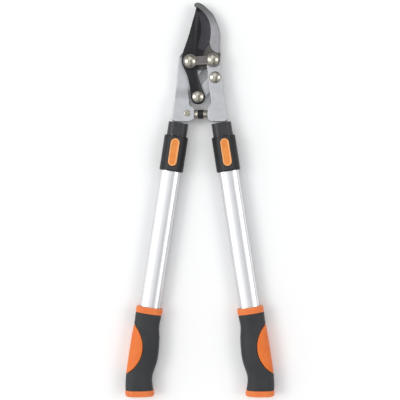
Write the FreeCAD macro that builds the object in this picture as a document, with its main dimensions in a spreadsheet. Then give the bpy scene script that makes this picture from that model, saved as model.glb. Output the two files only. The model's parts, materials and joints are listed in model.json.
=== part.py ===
import FreeCAD
import Part
import Sketcher
import math
import os

# Bypass loppers with a compound linkage and telescopic handles, lying flat and shut.
# +X points to the right arm, +Y from the grips to the jaws, +Z up from the surface
# they lie on. The origin is under the middle of the whole tool. All sizes are mm.

V = FreeCAD.Vector
UP = V(0, 0, 1)
ROUND_OFF = 0.001

SIZES = (
    ("tube_height", 18, "height of the tubes' axes above the floor"),
    ("blade_pivot_x", -17, "blade pivot, across"),
    ("blade_pivot_y", 240.8, "blade pivot, along"),
    ("arm_pivot_x", 22.75, "right arm pivot, across"),
    ("arm_pivot_y", 243.4, "right arm pivot, along"),
    ("crank_x", 26.8, "link pivot on the right arm, across"),
    ("crank_y", 213, "link pivot on the right arm, along"),
    ("tail_x", -3.3, "link pivot on the blade's tail, across"),
    ("tail_y", 179.2, "link pivot on the blade's tail, along"),
    ("left_arm_z", 8, "back of the left arm"),
    ("left_arm_thickness", 10.5, "left arm behind the blade"),
    ("hook_z", 12.5, "back of the hook"),
    ("hook_thickness", 6, "hook plate"),
    ("link_z", 12.8, "back of the drive link"),
    ("link_thickness", 5.5, "drive link plate"),
    ("blade_z", 18.8, "flat back of the blade"),
    ("blade_thickness", 4.5, "blade plate"),
    ("blade_edge", 0.6, "blade left at the cutting edge"),
    ("right_arm_thickness", 6, "right arm between hook and strap"),
    ("strap_z", 25, "back of the front strap"),
    ("strap_thickness", 4, "front strap"),
    ("strap_eye", 12.5, "round ends of the strap"),
    ("strap_bar", 15, "width of the strap's bar"),
    ("link_eye", 9.9, "round ends of the drive link"),
    ("tail_eye", 13, "round end of the blade's tail"),
    ("boss_back_z", 8.5, "back of the arms' lower bosses"),
    ("boss_depth", 19, "arms' lower bosses, front to back"),
    ("plate_round", 0.7, "rounding of the steel plates' edges"),
    ("bolt_radius", 5, "pivot bolts"),
    ("bolt_hole", 5.05, "holes that the pivot bolts fill"),
    ("tail_bolt_radius", 4, "bolt in the blade's tail"),
    ("tail_bolt_hole", 4.05, "hole in the blade's tail"),
    ("link_slack_hole", 6.2, "eye of the link at the tail, with slack"),
    ("bush_bore", 5.06, "running bore of the bushes"),
    ("bush_outer", 6.5, "outside of the bushes"),
    ("bush_hole", 6.52, "holes that hold the bushes"),
    ("head_radius", 10.3, "domed bolt heads"),
    ("head_rim", 1.6, "straight edge of a bolt head"),
    ("head_dome", 3.2, "dome above that edge"),
    ("nut_radius", 7.5, "lock nuts, across corners, half"),
    ("nut_height", 5.5, "lock nuts"),
    ("rivet_radius", 2.5, "rivets"),
    ("rivet_hole", 2.53, "rivet holes"),
    ("handle_x", 37.3, "tube axis at the ferrule's mouth, across"),
    ("handle_y", 133.9, "tube axis at the ferrule's mouth, along"),
    ("handle_tilt", 8.8, "lean of each handle, degrees"),
    ("tang_width", 24, "arm's tang inside the tube"),
    ("tang_depth", 10, "arm's tang, front to back"),
    ("tang_length", 46, "arm's tang below the ferrule's mouth"),
    ("inner_width", 31, "inner tube, across"),
    ("inner_depth", 19, "inner tube, front to back"),
    ("tube_wall", 1.5, "wall of both tubes"),
    ("inner_start", 2.6, "inner tube's top below the ferrule's mouth"),
    ("inner_end", 408, "inner tube's lower end"),
    ("index_pitch", 50, "step between lock holes"),
    ("index_radius", 3.6, "lock holes"),
    ("outer_width", 35, "outer tube, across"),
    ("outer_depth", 23, "outer tube, front to back"),
    ("outer_start", 26.4, "outer tube's top"),
    ("outer_end", 468, "outer tube's lower end"),
    ("ferrule_width", 34.5, "ferrule, across"),
    ("ferrule_depth", 23, "ferrule, front to back"),
    ("ferrule_length", 22.8, "ferrule"),
    ("collar_start", 23.2, "lock collar's top"),
    ("collar_length", 62.4, "lock collar"),
    ("collar_width", 41.5, "lock collar, across"),
    ("collar_depth", 32, "lock collar, front to back"),
    ("lever_centre", 52.4, "middle of the lock lever"),
    ("lever_length", 48.5, "lock lever"),
    ("lever_width", 15.4, "lock lever"),
    ("lever_thickness", 3.8, "lock lever"),
    ("lever_lift", 13.4, "lever's underside above the tube axis"),
    ("lever_gap", 1, "gap around the lever"),
    ("lever_pin_radius", 1.1, "lever pin"),
    ("lever_pin_lift", 14, "lever pin above the tube axis"),
    ("lever_pin_length", 19, "lever pin"),
    ("lever_round", 1.2, "rounding of the lever's top edge"),
    ("lug_length", 13, "lug under the lever, around its pin"),
    ("lug_wall", 1.1, "lug's wall around the pin"),
    ("tooth_radius", 3, "tooth under the lever"),
    ("tooth_offset", 17, "tooth above the lever's pin, along the handle"),
    ("tooth_gap", 0.35, "tooth clear of the inner tube"),
    ("spring_offset", 16, "spring below the lever's pin, along the handle"),
    ("spring_radius", 3.2, "outside of the lever's spring"),
    ("spring_bore", 2.4, "inside of the lever's spring"),
    ("collar_round", 2.5, "rounding of the collar's rims"),
    ("collar_rivet_radius", 1.8, "rivets that hold the collar"),
    ("grip_start", 326, "grip's mouth"),
    ("grip_ring_length", 11.5, "ring at the grip's mouth"),
    ("grip_end_y", -344, "flat end of the grips"),
    ("grip_cap_length", 11, "end cap along the grip"),
    ("pad_centre", 402.5, "middle of the grip's side pad"),
    ("pad_offset", 59, "centre of the side pad's outline, outside the grip"),
    ("pad_along", 55.4, "half axis of that outline along the grip"),
    ("pad_across", 58.3, "half axis of that outline across the grip"),
    ("pad_thickness", 2.6, "side pad"),
    ("bumper_y", 149, "middle of the bumper"),
    ("bumper_radius", 8.3, "outside of the bumper's cups"),
    ("bumper_left_x", -10.3, "left cup's face, on the left arm's boss"),
    ("bumper_right_x", 12.3, "right cup's face, free"),
    ("cup_length", 6.5, "bumper's cups"),
    ("cup_floor", 1.5, "floor of the cups"),
    ("cup_wall", 1.1, "wall of the cups"),
    ("strike_face_x", 13.8, "right arm's boss, opposite the bumper"),
    ("strike_radius", 7, "button that the bumper strikes"),
    ("strike_thickness", 0.9, "that button"),
    ("boss_screw_x", -22, "screw in the left arm's boss, across"),
    ("boss_screw_y", 150.5, "screw in the left arm's boss, along"),
    ("boss_screw_length", 14, "boss screw below its head"),
    ("boss_screw_head", 5.6, "boss screw's head"),
    ("boss_screw_rise", 1.6, "height of the boss screw's head"),
    ("washer_thickness", 1.2, "washers on both sides of the tail"),
    ("fit_gap", 0.1, "play around a piece that is pushed into another"),
    ("pin_gap", 0.03, "play around a pin or rivet"),
    ("blade_washer_radius", 11, "washer between the blade and the strap"),
    ("back_washer_radius", 9.6, "washer behind the link at the tail"),
    ("link_play", 0.3, "play between the link and its washer or nut"),
    ("mouth_gap", 0.6, "play around the inner tube in the collar's mouth"),
    ("plug_gap", 0.2, "how far the glide plug stands out from the inner tube"),
    ("plug_head", 10, "glide plug past the inner tube"),
    ("plug_stem", 14, "glide plug inside the inner tube"),
)

doc = FreeCAD.newDocument("BypassLoppers")
sheet = doc.addObject("Spreadsheet::Sheet", "Sizes")
for line, (alias, size, meaning) in enumerate(SIZES, 1):
    sheet.set(f"A{line}", meaning)
    sheet.set(f"B{line}", str(size))
    sheet.setAlias(f"B{line}", alias)
doc.recompute()


def size(alias):
    """The value of one cell of the sheet."""
    return float(sheet.get(alias))


def bind(item, path, expression):
    """Makes one property follow the sheet."""
    item.setExpression(path, expression)


# Helpers for sketched bodies -------------------------------------------------


def handle_placement(side):
    """Local Z runs down the tube, Y points up, and X is to the right of the grip."""
    tilt = math.radians(size("handle_tilt"))
    down = V(side * math.sin(tilt), -math.cos(tilt), 0)
    mouth = V(side * size("handle_x"), size("handle_y"), size("tube_height"))
    across = UP.cross(down)
    return FreeCAD.Placement(mouth, FreeCAD.Rotation(across, UP, down, "ZYX"))


def new_body(label, placement=None):
    body = doc.addObject("PartDesign::Body", label)
    body.Label = label
    if placement:
        body.Placement = placement
    return body


def new_sketch(body, edges, role="XY_Plane", lift="0"):
    """A sketch on one of the body's own planes, lifted by an expression."""
    planes = body.Origin.OriginFeatures
    support = next(plane for plane in planes if plane.Role == role)
    sketch = body.newObject("Sketcher::SketchObject", body.Label + "_outline")
    sketch.AttachmentSupport = [(support, "")]
    sketch.MapMode = "FlatFace"
    bind(sketch, "AttachmentOffset.Base.z", lift)
    for edge in edges:
        sketch.addGeometry(edge, False)
    return sketch


def fix(sketch, kind, geometry, expression):
    """Adds one dimension to a sketch and makes it follow the sheet."""
    value = float(sheet.evalExpression(expression))
    if kind == "Radius":
        row = sketch.addConstraint(Sketcher.Constraint(kind, geometry, value))
    else:
        row = sketch.addConstraint(Sketcher.Constraint(kind, -1, 1, geometry, 3, value))
    bind(sketch, f"Constraints[{row}]", expression)


def add_circle(sketch, x, y, radius):
    """A circle whose centre and radius are expressions on the sheet."""
    centre = V(float(sheet.evalExpression(x)), float(sheet.evalExpression(y)), 0)
    circle = Part.Circle(centre, UP, float(sheet.evalExpression(radius)))
    number = sketch.addGeometry(circle, False)
    fix(sketch, "DistanceX", number, x)
    fix(sketch, "DistanceY", number, y)
    fix(sketch, "Radius", number, radius)
    return number


def pad(body, sketch, length):
    feature = body.newObject("PartDesign::Pad", body.Label + "_pad")
    feature.Profile = sketch
    bind(feature, "Length", length)
    return feature


def pocket(body, sketch, depth, backwards=False):
    """Cuts a sketch into a body, and makes sure that something was cut."""
    doc.recompute()
    before = body.Shape.Volume
    feature = body.newObject("PartDesign::Pocket", body.Label + "_pocket")
    feature.Profile = sketch
    feature.Reversed = backwards
    bind(feature, "Length", depth)
    doc.recompute()
    if body.Shape.Volume > before - ROUND_OFF:
        raise RuntimeError(f"a pocket in {body.Label} cuts nothing")
    return feature


def soften(body, kind, size_expression, wanted):
    """Rounds or chamfers the edges of a body that pass a test."""
    doc.recompute()
    base = body.Tip
    edges = enumerate(base.Shape.Edges, 1)
    names = [f"Edge{number}" for number, edge in edges if wanted(edge)]
    feature = body.newObject("PartDesign::" + kind, body.Label + "_" + kind.lower())
    feature.Base = (base, names)
    bind(feature, "Radius" if kind == "Fillet" else "Size", size_expression)
    body.Tip = feature
    doc.recompute()
    return feature


def at_height(*heights):
    """Tests whether an edge lies flat at one of some heights."""

    def wanted(edge):
        box = edge.BoundBox
        flat = box.ZLength < ROUND_OFF
        return flat and any(abs(box.ZMin - height) < 0.01 for height in heights)

    return wanted


def line(start, end):
    return Part.LineSegment(V(*start, 0), V(*end, 0))


def arc(start, through, end):
    return Part.Arc(V(*start, 0), V(*through, 0), V(*end, 0))


def curve(*points):
    """One smooth curve through a few points."""
    spline = Part.BSplineCurve()
    spline.interpolate([V(*point, 0) for point in points])
    return spline


def lines(*points):
    return [line(start, end) for start, end in zip(points, points[1:])]


def on_circle(centre, radius, degrees):
    angle = math.radians(degrees)
    return (centre[0] + radius * math.cos(angle), centre[1] + radius * math.sin(angle))


def racetrack(width, depth):
    """A flat-sided oval, wide along X, as four edges."""
    end = depth / 2
    flat = width / 2 - end
    return [
        line((-flat, end), (flat, end)),
        arc((flat, end), (flat + end, 0), (flat, -end)),
        line((flat, -end), (-flat, -end)),
        arc((-flat, -end), (-flat - end, 0), (-flat, end)),
    ]


def racetrack_sketch(body, width, depth, lift="0"):
    """A flat-sided oval whose ends and length follow two expressions."""
    wide = float(sheet.evalExpression(width))
    deep = float(sheet.evalExpression(depth))
    sketch = new_sketch(body, racetrack(wide, deep), lift=lift)
    add_oval_constraints(sketch, 0, width, depth)
    return sketch


def add_oval_constraints(sketch, first, width, depth):
    """Ties an oval's four edges together and binds its radius and length."""
    top, right, bottom, left = range(first, first + 4)
    for one, one_end, other, other_end in (
        (top, 2, right, 2),
        (right, 1, bottom, 1),
        (bottom, 2, left, 2),
        (left, 1, top, 1),
    ):
        sketch.addConstraint(
            Sketcher.Constraint("Tangent", one, one_end, other, other_end)
        )
    sketch.addConstraint(Sketcher.Constraint("Horizontal", top))
    sketch.addConstraint(Sketcher.Constraint("Symmetric", left, 3, right, 3, -1, 1))
    row = sketch.addConstraint(
        Sketcher.Constraint("Radius", right, float(sheet.evalExpression(depth)) / 2)
    )
    bind(sketch, f"Constraints[{row}]", f"({depth}) / 2")


# Helpers for turned hardware ---------------------------------------------------


def cylinder(label, x, y, z, radius, height):
    item = doc.addObject("Part::Cylinder", label)
    for path, expression in (
        ("Placement.Base.x", x),
        ("Placement.Base.y", y),
        ("Placement.Base.z", z),
        ("Radius", radius),
        ("Height", height),
    ):
        bind(item, path, expression)
    return item


def joined(label, *items):
    result = doc.addObject("Part::MultiFuse", label)
    result.Shapes = list(items)
    result.Refine = True
    return result


def cut(label, base, tool):
    result = doc.addObject("Part::Cut", label)
    result.Base = base
    result.Tool = tool
    return result


def domed_bolt(label, x, y, foot, seat, radius="Sizes.bolt_radius"):
    """A plain shank with a low domed head whose underside sits at seat."""
    shank = cylinder(label + "_shank", x, y, foot, radius, f"{seat} - ({foot})")
    rim = cylinder(label + "_rim", x, y, seat, "Sizes.head_radius", "Sizes.head_rim")
    cap = doc.addObject("Part::Sphere", label + "_cap")
    ball = "((Sizes.head_radius ^ 2 + Sizes.head_dome ^ 2) / (2 * Sizes.head_dome))"
    bind(cap, "Radius", ball)
    bind(cap, "Angle1", f"asin(1 - Sizes.head_dome / {ball})")
    bind(cap, "Placement.Base.x", x)
    bind(cap, "Placement.Base.y", y)
    top = f"{seat} + Sizes.head_rim + Sizes.head_dome"
    bind(cap, "Placement.Base.z", f"{top} - {ball}")
    return joined(label, shank, rim, cap)


def lock_nut(label, x, y, seat, bore="Sizes.bolt_hole"):
    """A hexagon nut whose top face sits at seat, under the plates."""
    blank = doc.addObject("Part::Prism", label + "_hexagon")
    blank.Polygon = 6
    foot = f"{seat} - Sizes.nut_height"
    bind(blank, "Circumradius", "Sizes.nut_radius")
    bind(blank, "Height", "Sizes.nut_height")
    bind(blank, "Placement.Base.x", x)
    bind(blank, "Placement.Base.y", y)
    bind(blank, "Placement.Base.z", foot)
    hole = cylinder(label + "_bore", x, y, foot + " - 1", bore, "Sizes.nut_height + 2")
    return cut(label, blank, hole)


def ring(label, x, y, z, outer, bore, height):
    """A washer or bush."""
    blank = cylinder(label + "_blank", x, y, z, outer, height)
    hole = cylinder(label + "_bore", x, y, f"{z} - 1", bore, f"{height} + 2")
    return cut(label, blank, hole)


BLADE_PIVOT = ("Sizes.blade_pivot_x", "Sizes.blade_pivot_y")
ARM_PIVOT = ("Sizes.arm_pivot_x", "Sizes.arm_pivot_y")
CRANK = ("Sizes.crank_x", "Sizes.crank_y")
TAIL = ("Sizes.tail_x", "Sizes.tail_y")


def point(pivot, x=0.0, y=0.0):
    """A point measured from a pivot."""
    centre = [float(sheet.evalExpression(expression)) for expression in pivot]
    return (centre[0] + x, centre[1] + y)


# The head ----------------------------------------------------------------------


def front_strap():
    """The flat strap that ties the blade pivot to the right arm's pivot."""
    body = new_body("front_strap")
    bind(body, "Placement.Base.z", "Sizes.strap_z")
    eyes = new_sketch(body, [])
    for pivot in (BLADE_PIVOT, ARM_PIVOT):
        add_circle(eyes, *pivot, "Sizes.strap_eye")
        add_circle(eyes, *pivot, "Sizes.bolt_hole")
    pad(body, eyes, "Sizes.strap_thickness")
    start = point(BLADE_PIVOT)
    end = point(ARM_PIVOT)
    clear = size("strap_eye") * 0.6
    lean = math.atan2(end[1] - start[1], end[0] - start[0])
    along = (math.cos(lean), math.sin(lean))
    half = size("strap_bar") / 2

    def corner(centre, forward, sideways):
        return (
            centre[0] + forward * along[0] - sideways * along[1],
            centre[1] + forward * along[1] + sideways * along[0],
        )

    corners = (
        corner(start, clear, half),
        corner(end, -clear, half),
        corner(end, -clear, -half),
        corner(start, clear, -half),
        corner(start, clear, half),
    )
    bar = new_sketch(body, lines(*corners))
    pad(body, bar, "Sizes.strap_thickness")
    soften(body, "Fillet", "Sizes.plate_round", at_height(size("strap_thickness")))


def drive_link():
    """The link between the right arm's crank and the blade's tail."""
    body = new_body("drive_link")
    bind(body, "Placement.Base.z", "Sizes.link_z")
    upper = point(CRANK)
    lower = point(TAIL)
    lean = math.degrees(math.atan2(upper[1] - lower[1], upper[0] - lower[0]))
    eye = size("link_eye")
    edges = [
        line(on_circle(lower, eye, lean + 90), on_circle(upper, eye, lean + 90)),
        arc(*(on_circle(upper, eye, lean + turn) for turn in (90, 0, -90))),
        line(on_circle(upper, eye, lean - 90), on_circle(lower, eye, lean - 90)),
        arc(*(on_circle(lower, eye, lean + turn) for turn in (-90, 180, 90))),
    ]
    outline = new_sketch(body, edges)
    add_circle(outline, *CRANK, "Sizes.bush_hole")
    add_circle(outline, *TAIL, "Sizes.link_slack_hole")
    pad(body, outline, "Sizes.link_thickness")
    faces = at_height(0, size("link_thickness"))
    soften(body, "Chamfer", "Sizes.plate_round", faces)


# The blade's outline, measured from its pivot: the tip, then down the spine, round
# the tail, and back up the heel and the cutting edge.
BLADE_TIP = (11.0, 96.2)
BLADE_SPINE = ((6.7, 78.4), (3.2, 66.2), (-1.6, 48.7), (-8.6, 27.7), (-14.2, 9.0))
BLADE_BOSS = (-14.9, 0.0)
BLADE_TAIL_LEFT = ((-12.6, -7.5), (-5.6, -23.1), (-2.1, -37.1), (0.2, -50.0))
BLADE_TAIL_RIGHT = ((23.4, -52.8), (19.3, -42.3), (15.95, -31.8), (12.8, -16.1))
BLADE_HEEL = ((14.9, -2.0), (18.9, 9.2), (33.4, 31.2))
BLADE_EDGE = ((35.9, 50.0), (33.4, 70.0), (25.9, 83.7))
# Pairs across the ground bevel: on the cutting edge, then where the grinding starts.
BLADE_BEVEL = (
    ((13.0, 97.0), (10.8, 90.5)),
    ((25.9, 83.7), (15.2, 80.0)),
    ((33.4, 70.0), (18.3, 67.9)),
    ((35.9, 50.0), (18.9, 50.4)),
    ((33.9, 33.0), (14.7, 31.2)),
    ((27.0, 18.6), (13.6, 22.6)),
)


def from_blade_pivot(points):
    return [point(BLADE_PIVOT, *offset) for offset in points]


def bevel_cutter():
    """A solid that takes the ground bevel off the blade's front."""
    bottom = size("blade_z")
    top = bottom + size("blade_thickness")
    edge_top = bottom + size("blade_edge")
    reach = 1.25
    sections = []
    for edge, start in BLADE_BEVEL:
        inner = V(*point(BLADE_PIVOT, *start), top)
        outer = V(*point(BLADE_PIVOT, *edge), edge_top)
        foot = inner + (outer - inner) * reach
        corners = [inner, foot, V(foot.x, foot.y, top + 2), V(inner.x, inner.y, top + 2)]
        sections.append(Part.makePolygon(corners + [inner]))
    return Part.makeLoft(sections, True, False)


def blade():
    """The curved cutting blade with its tail, ground on the front only."""
    centre = point(TAIL)
    eye = size("tail_eye")
    left = on_circle(centre, eye, 170)
    right = on_circle(centre, eye, 8)
    spine = from_blade_pivot((BLADE_TIP, *BLADE_SPINE, BLADE_BOSS))
    tail_left = from_blade_pivot((BLADE_BOSS, *BLADE_TAIL_LEFT))
    tail_right = from_blade_pivot((*BLADE_TAIL_RIGHT, BLADE_HEEL[0]))
    heel = from_blade_pivot(BLADE_HEEL)
    edge = from_blade_pivot((BLADE_HEEL[-1], *BLADE_EDGE, BLADE_TIP))
    outline = [
        curve(*spine),
        curve(*tail_left, left),
        arc(left, on_circle(centre, eye, -90), right),
        curve(right, *tail_right),
        curve(*heel),
        curve(*edge),
    ]
    wire = Part.Wire([section.toShape() for section in outline])
    plate = Part.Face(wire).extrude(UP * size("blade_thickness"))
    plate.translate(UP * size("blade_z"))
    for pivot, hole in ((BLADE_PIVOT, "bush_hole"), (TAIL, "tail_bolt_hole")):
        foot = V(*point(pivot), size("blade_z") - 1)
        plate = plate.cut(Part.makeCylinder(size(hole), size("blade_thickness") + 2, foot))
    item = doc.addObject("Part::Feature", "blade")
    item.Shape = plate.cut(bevel_cutter())
    return item


# The hook: its outer back from the tip down, and its inner jaw from the throat up.
HOOK_BACK = (
    (-0.7, 343.9),
    (6.3, 340.2),
    (13.8, 333.2),
    (21.2, 326.2),
    (28.2, 314.0),
    (33.4, 300.0),
    (35.9, 282.5),
    (35.3, 266.0),
    (36.1, 254.5),
)
HOOK_JAW = (
    (-4.0, 261.0),
    (4.5, 267.5),
    (10.2, 278.0),
    (12.6, 291.0),
    (11.6, 305.0),
    (6.2, 319.5),
    (-2.2, 331.5),
    (-9.3, 338.4),
)
HOOK_NOSE = ((-9.9, 341.6), (-6.4, 344.0))
HOOK_FOOT = ((3.7, 225.9), (10.0, 228.4))
HOOK_RIVETS = ((-10.5, 252.5), (-7.0, 231.0))
HOOK_EYE = 13.0


def hook():
    """The hooked counter blade, whose foot carries both pivots."""
    body = new_body("hook")
    bind(body, "Placement.Base.z", "Sizes.hook_z")
    right = point(ARM_PIVOT)
    left = point(BLADE_PIVOT)
    right_top = on_circle(right, HOOK_EYE, 15)
    right_foot = on_circle(right, HOOK_EYE, -105)
    left_foot = on_circle(left, HOOK_EYE, -78)
    left_top = on_circle(left, HOOK_EYE, 95)
    edges = [
        curve(*HOOK_BACK, right_top),
        arc(right_top, on_circle(right, HOOK_EYE, -45), right_foot),
        *lines(right_foot, *HOOK_FOOT[::-1], left_foot),
        arc(left_foot, on_circle(left, HOOK_EYE, 180), left_top),
        curve(left_top, *HOOK_JAW),
        curve(HOOK_JAW[-1], *HOOK_NOSE, HOOK_BACK[0]),
    ]
    outline = new_sketch(body, edges)
    for pivot in (BLADE_PIVOT, ARM_PIVOT):
        add_circle(outline, *pivot, "Sizes.bolt_hole")
    for x, y in HOOK_RIVETS:
        add_circle(outline, str(x), str(y), "Sizes.rivet_hole")
    pad(body, outline, "Sizes.hook_thickness")


# Outlines of the two arm castings, from the top of the outer side downwards, with the
# pivot eyes left to arcs. The lower bosses are listed on their own, because they are
# thicker than the arms.
LEFT_ARM_OUTER = ((-36.6, 247.0), (-38.1, 235.0), (-39.6, 217.7), (-41.5, 191.5), (-44.2, 168.0))
LEFT_ARM_INNER = ((-18.7, 168.0), (-18.7, 183.0), (-12.0, 202.0), (-1.7, 218.2), (3.6, 225.8))
LEFT_BOSS = (
    (-43.4, 176.0),
    (-18.7, 176.0),
    (-18.7, 165.2),
    (-16.6, 162.6),
    (-12.2, 160.6),
    (-10.3, 158.4),
    (-10.3, 140.4),
    (-12.0, 138.4),
    (-20.5, 135.6),
    (-43.5, 135.6),
    (-48.4, 139.4),
    (-46.3, 156.5),
)
RIGHT_ARM_OUTER = ((34.1, 243.4), (36.0, 234.5), (38.7, 216.0), (41.5, 191.5), (44.2, 168.0))
RIGHT_ARM_INNER = ((18.9, 168.0), (18.4, 179.2), (15.9, 195.0), (14.2, 216.0), (12.2, 232.0))
RIGHT_BOSS = (
    (43.4, 176.0),
    (18.8, 176.0),
    (19.9, 167.4),
    (18.0, 163.2),
    (14.8, 160.4),
    (13.8, 158.0),
    (13.8, 140.4),
    (15.6, 138.4),
    (20.5, 135.6),
    (43.5, 135.6),
    (48.0, 139.4),
    (46.3, 156.5),
)


def closed(points):
    return lines(*points, points[0])


# Ramps from the arms up to their bosses: y at the foot and the top of the ramp, then
# the two x of each, and the z that the ramp starts from, rises to and is rooted in.
LEFT_FRONT_RAMP = ((199.0, -40.9, -21.5, 18.2), (175.0, -43.6, -18.7, 27.5), 14.0)
RIGHT_FRONT_RAMP = ((199.0, 16.2, 40.7, 24.5), (175.0, 18.8, 43.6, 27.5), 22.0)
RIGHT_BACK_RAMP = ((187.5, 18.7, 42.0, 19.1), (175.0, 18.8, 43.6, 8.5), 22.0)
BOSS_SCREW = ("Sizes.boss_screw_x", "Sizes.boss_screw_y")
TANG_RIVETS = (12.0, 25.0)


def add_boss_and_tang(body, boss, side):
    """The thick foot of an arm and the flat tang that plugs into its tube."""
    foot = new_sketch(body, closed(boss), lift="Sizes.boss_back_z")
    pad(body, foot, "Sizes.boss_depth")
    mouth = handle_placement(side)
    half = size("tang_width") / 2
    corners = [
        mouth.multVec(V(across, 0, along))
        for across, along in (
            (-half, -6),
            (half, -6),
            (half, size("tang_length")),
            (-half, size("tang_length")),
        )
    ]
    flat = closed([(corner.x, corner.y) for corner in corners])
    tang = new_sketch(body, flat, lift="Sizes.tube_height - Sizes.tang_depth / 2")
    pad(body, tang, "Sizes.tang_depth")
    holes = new_sketch(body, [], lift="Sizes.tube_height - Sizes.tang_depth / 2 - 1")
    for along in TANG_RIVETS:
        centre = mouth.multVec(V(0, 0, along))
        add_circle(holes, str(centre.x), str(centre.y), "Sizes.rivet_hole")
    pocket(body, holes, "Sizes.tang_depth + 2", backwards=True)


def add_ramp(body, ends):
    """A sloping web between an arm and its thicker boss."""
    low, high, root = ends
    sections = []
    for y, left, right, z in (low, high):
        outline = closed([(left, root), (right, root), (right, z), (left, z)])
        sections.append(new_sketch(body, outline, "XZ_Plane", f"{-y}"))
    ramp = body.newObject("PartDesign::AdditiveLoft", body.Label + "_ramp")
    ramp.Profile = sections[0]
    ramp.Sections = sections[1:]
    ramp.Ruled = True
    doc.recompute()


def left_arm():
    """The casting that carries the hook and the left handle."""
    body = new_body("left_arm")
    eye = point(BLADE_PIVOT)
    radius = 20.6
    top_left = on_circle(eye, radius, 162)
    top_right = on_circle(eye, radius, 18)
    edges = [
        arc(top_left, on_circle(eye, radius, 90), top_right),
        *lines(top_right, (5.2, 236.0), LEFT_ARM_INNER[-1]),
        curve(*LEFT_ARM_INNER[::-1]),
        line(LEFT_ARM_INNER[0], LEFT_ARM_OUTER[-1]),
        curve(*LEFT_ARM_OUTER[::-1], top_left),
    ]
    outline = new_sketch(body, edges, lift="Sizes.left_arm_z")
    pad(body, outline, "Sizes.left_arm_thickness")
    seat = new_sketch(body, hook_seat(), lift="Sizes.hook_z")
    pocket(body, seat, "20", backwards=True)
    add_boss_and_tang(body, LEFT_BOSS, -1)
    add_ramp(body, LEFT_FRONT_RAMP)
    holes = new_sketch(body, [], lift="Sizes.left_arm_z - 1")
    add_circle(holes, *BLADE_PIVOT, "Sizes.bolt_hole")
    for x, y in HOOK_RIVETS:
        add_circle(holes, str(x), str(y), "Sizes.rivet_hole")
    pocket(body, holes, "Sizes.left_arm_thickness + 2", backwards=True)
    screw_foot = "Sizes.boss_back_z + Sizes.boss_depth - Sizes.boss_screw_length - 0.2"
    threaded = new_sketch(body, [], lift=screw_foot)
    add_circle(threaded, *BOSS_SCREW, "Sizes.rivet_hole")
    pocket(body, threaded, "20", backwards=True)


def hook_seat():
    """The outline of the step in the left arm that the hook's foot lies in."""
    left = point(BLADE_PIVOT)
    eye = HOOK_EYE + size("fit_gap")
    foot = on_circle(left, eye, -78)
    top = on_circle(left, eye, 95)
    return [
        arc(foot, on_circle(left, eye, 180), top),
        *lines(top, (top[0], 270.0), (14.0, 270.0), (14.0, 228.0), HOOK_FOOT[0], foot),
    ]


def right_arm():
    """The casting that carries the right handle and cranks the link."""
    body = new_body("right_arm")
    eye = point(ARM_PIVOT)
    radius = size("strap_eye") - 1.2
    left = RIGHT_ARM_INNER[-1]
    start = on_circle(eye, radius, 0)
    end = on_circle(eye, radius, 200)
    edges = [
        arc(start, on_circle(eye, radius, 90), end),
        line(end, left),
        curve(*RIGHT_ARM_INNER[::-1]),
        line(RIGHT_ARM_INNER[0], RIGHT_ARM_OUTER[-1]),
        curve(*RIGHT_ARM_OUTER[:0:-1], start),
    ]
    outline = new_sketch(body, edges, lift="Sizes.blade_z")
    pad(body, outline, "Sizes.right_arm_thickness")
    add_boss_and_tang(body, RIGHT_BOSS, 1)
    add_ramp(body, RIGHT_FRONT_RAMP)
    add_ramp(body, RIGHT_BACK_RAMP)
    holes = new_sketch(body, [], lift="Sizes.blade_z - 1")
    add_circle(holes, *ARM_PIVOT, "Sizes.bush_hole")
    add_circle(holes, *CRANK, "Sizes.bolt_hole")
    pocket(body, holes, "Sizes.right_arm_thickness + 2", backwards=True)


def pivot_hardware():
    """Bolts, nuts, bushes and washers of the four pivots."""
    strap_top = "Sizes.strap_z + Sizes.strap_thickness"
    arm_top = "Sizes.blade_z + Sizes.right_arm_thickness"
    blade_top = "Sizes.blade_z + Sizes.blade_thickness"
    domed_bolt("blade_pivot_bolt", *BLADE_PIVOT, "Sizes.left_arm_z - 5.5", strap_top)
    lock_nut("blade_pivot_nut", *BLADE_PIVOT, "Sizes.left_arm_z")
    domed_bolt("arm_pivot_bolt", *ARM_PIVOT, "Sizes.hook_z - 6.5", strap_top)
    lock_nut("arm_pivot_nut", *ARM_PIVOT, "Sizes.hook_z")
    domed_bolt("crank_bolt", *CRANK, "Sizes.link_z - 7", arm_top)
    lock_nut("crank_nut", *CRANK, "Sizes.link_z - Sizes.link_play")
    washer = "Sizes.washer_thickness"
    back = f"Sizes.link_z - Sizes.link_play - {washer}"
    seat = f"{blade_top} + {washer}"
    shank = "Sizes.tail_bolt_radius"
    hole = "Sizes.tail_bolt_hole"
    domed_bolt("tail_bolt", *TAIL, "Sizes.link_z - 8", seat, shank)
    ring("tail_washer", *TAIL, blade_top, "Sizes.head_radius - 0.6", hole, washer)
    ring("tail_back_washer", *TAIL, back, "Sizes.back_washer_radius", hole, washer)
    lock_nut("tail_nut", *TAIL, back, hole)
    bush = ("Sizes.bush_outer", "Sizes.bush_bore")
    ring("blade_bush", *BLADE_PIVOT, "Sizes.blade_z", *bush, "Sizes.blade_thickness")
    ring("arm_bush", *ARM_PIVOT, "Sizes.blade_z", *bush, "Sizes.right_arm_thickness")
    ring("link_bush", *CRANK, "Sizes.link_z", *bush, "Sizes.link_thickness")
    lift = f"{blade_top} + Sizes.fit_gap"
    washer_rim = "Sizes.blade_washer_radius"
    ring("blade_washer", *BLADE_PIVOT, lift, washer_rim, "Sizes.bush_bore", "1.5")
    places = [(str(x), str(y)) for x, y in HOOK_RIVETS]
    rivets("hook_rivets", places, "Sizes.left_arm_z", "Sizes.hook_z + Sizes.hook_thickness")


def rivets(label, places, foot, top):
    """A group of straight rivets."""
    height = f"{top} - ({foot})"
    items = [
        cylinder(f"{label}_{number}", x, y, foot, "Sizes.rivet_radius", height)
        for number, (x, y) in enumerate(places, 1)
    ]
    group = doc.addObject("Part::Compound", label)
    group.Links = items
    return group


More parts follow.
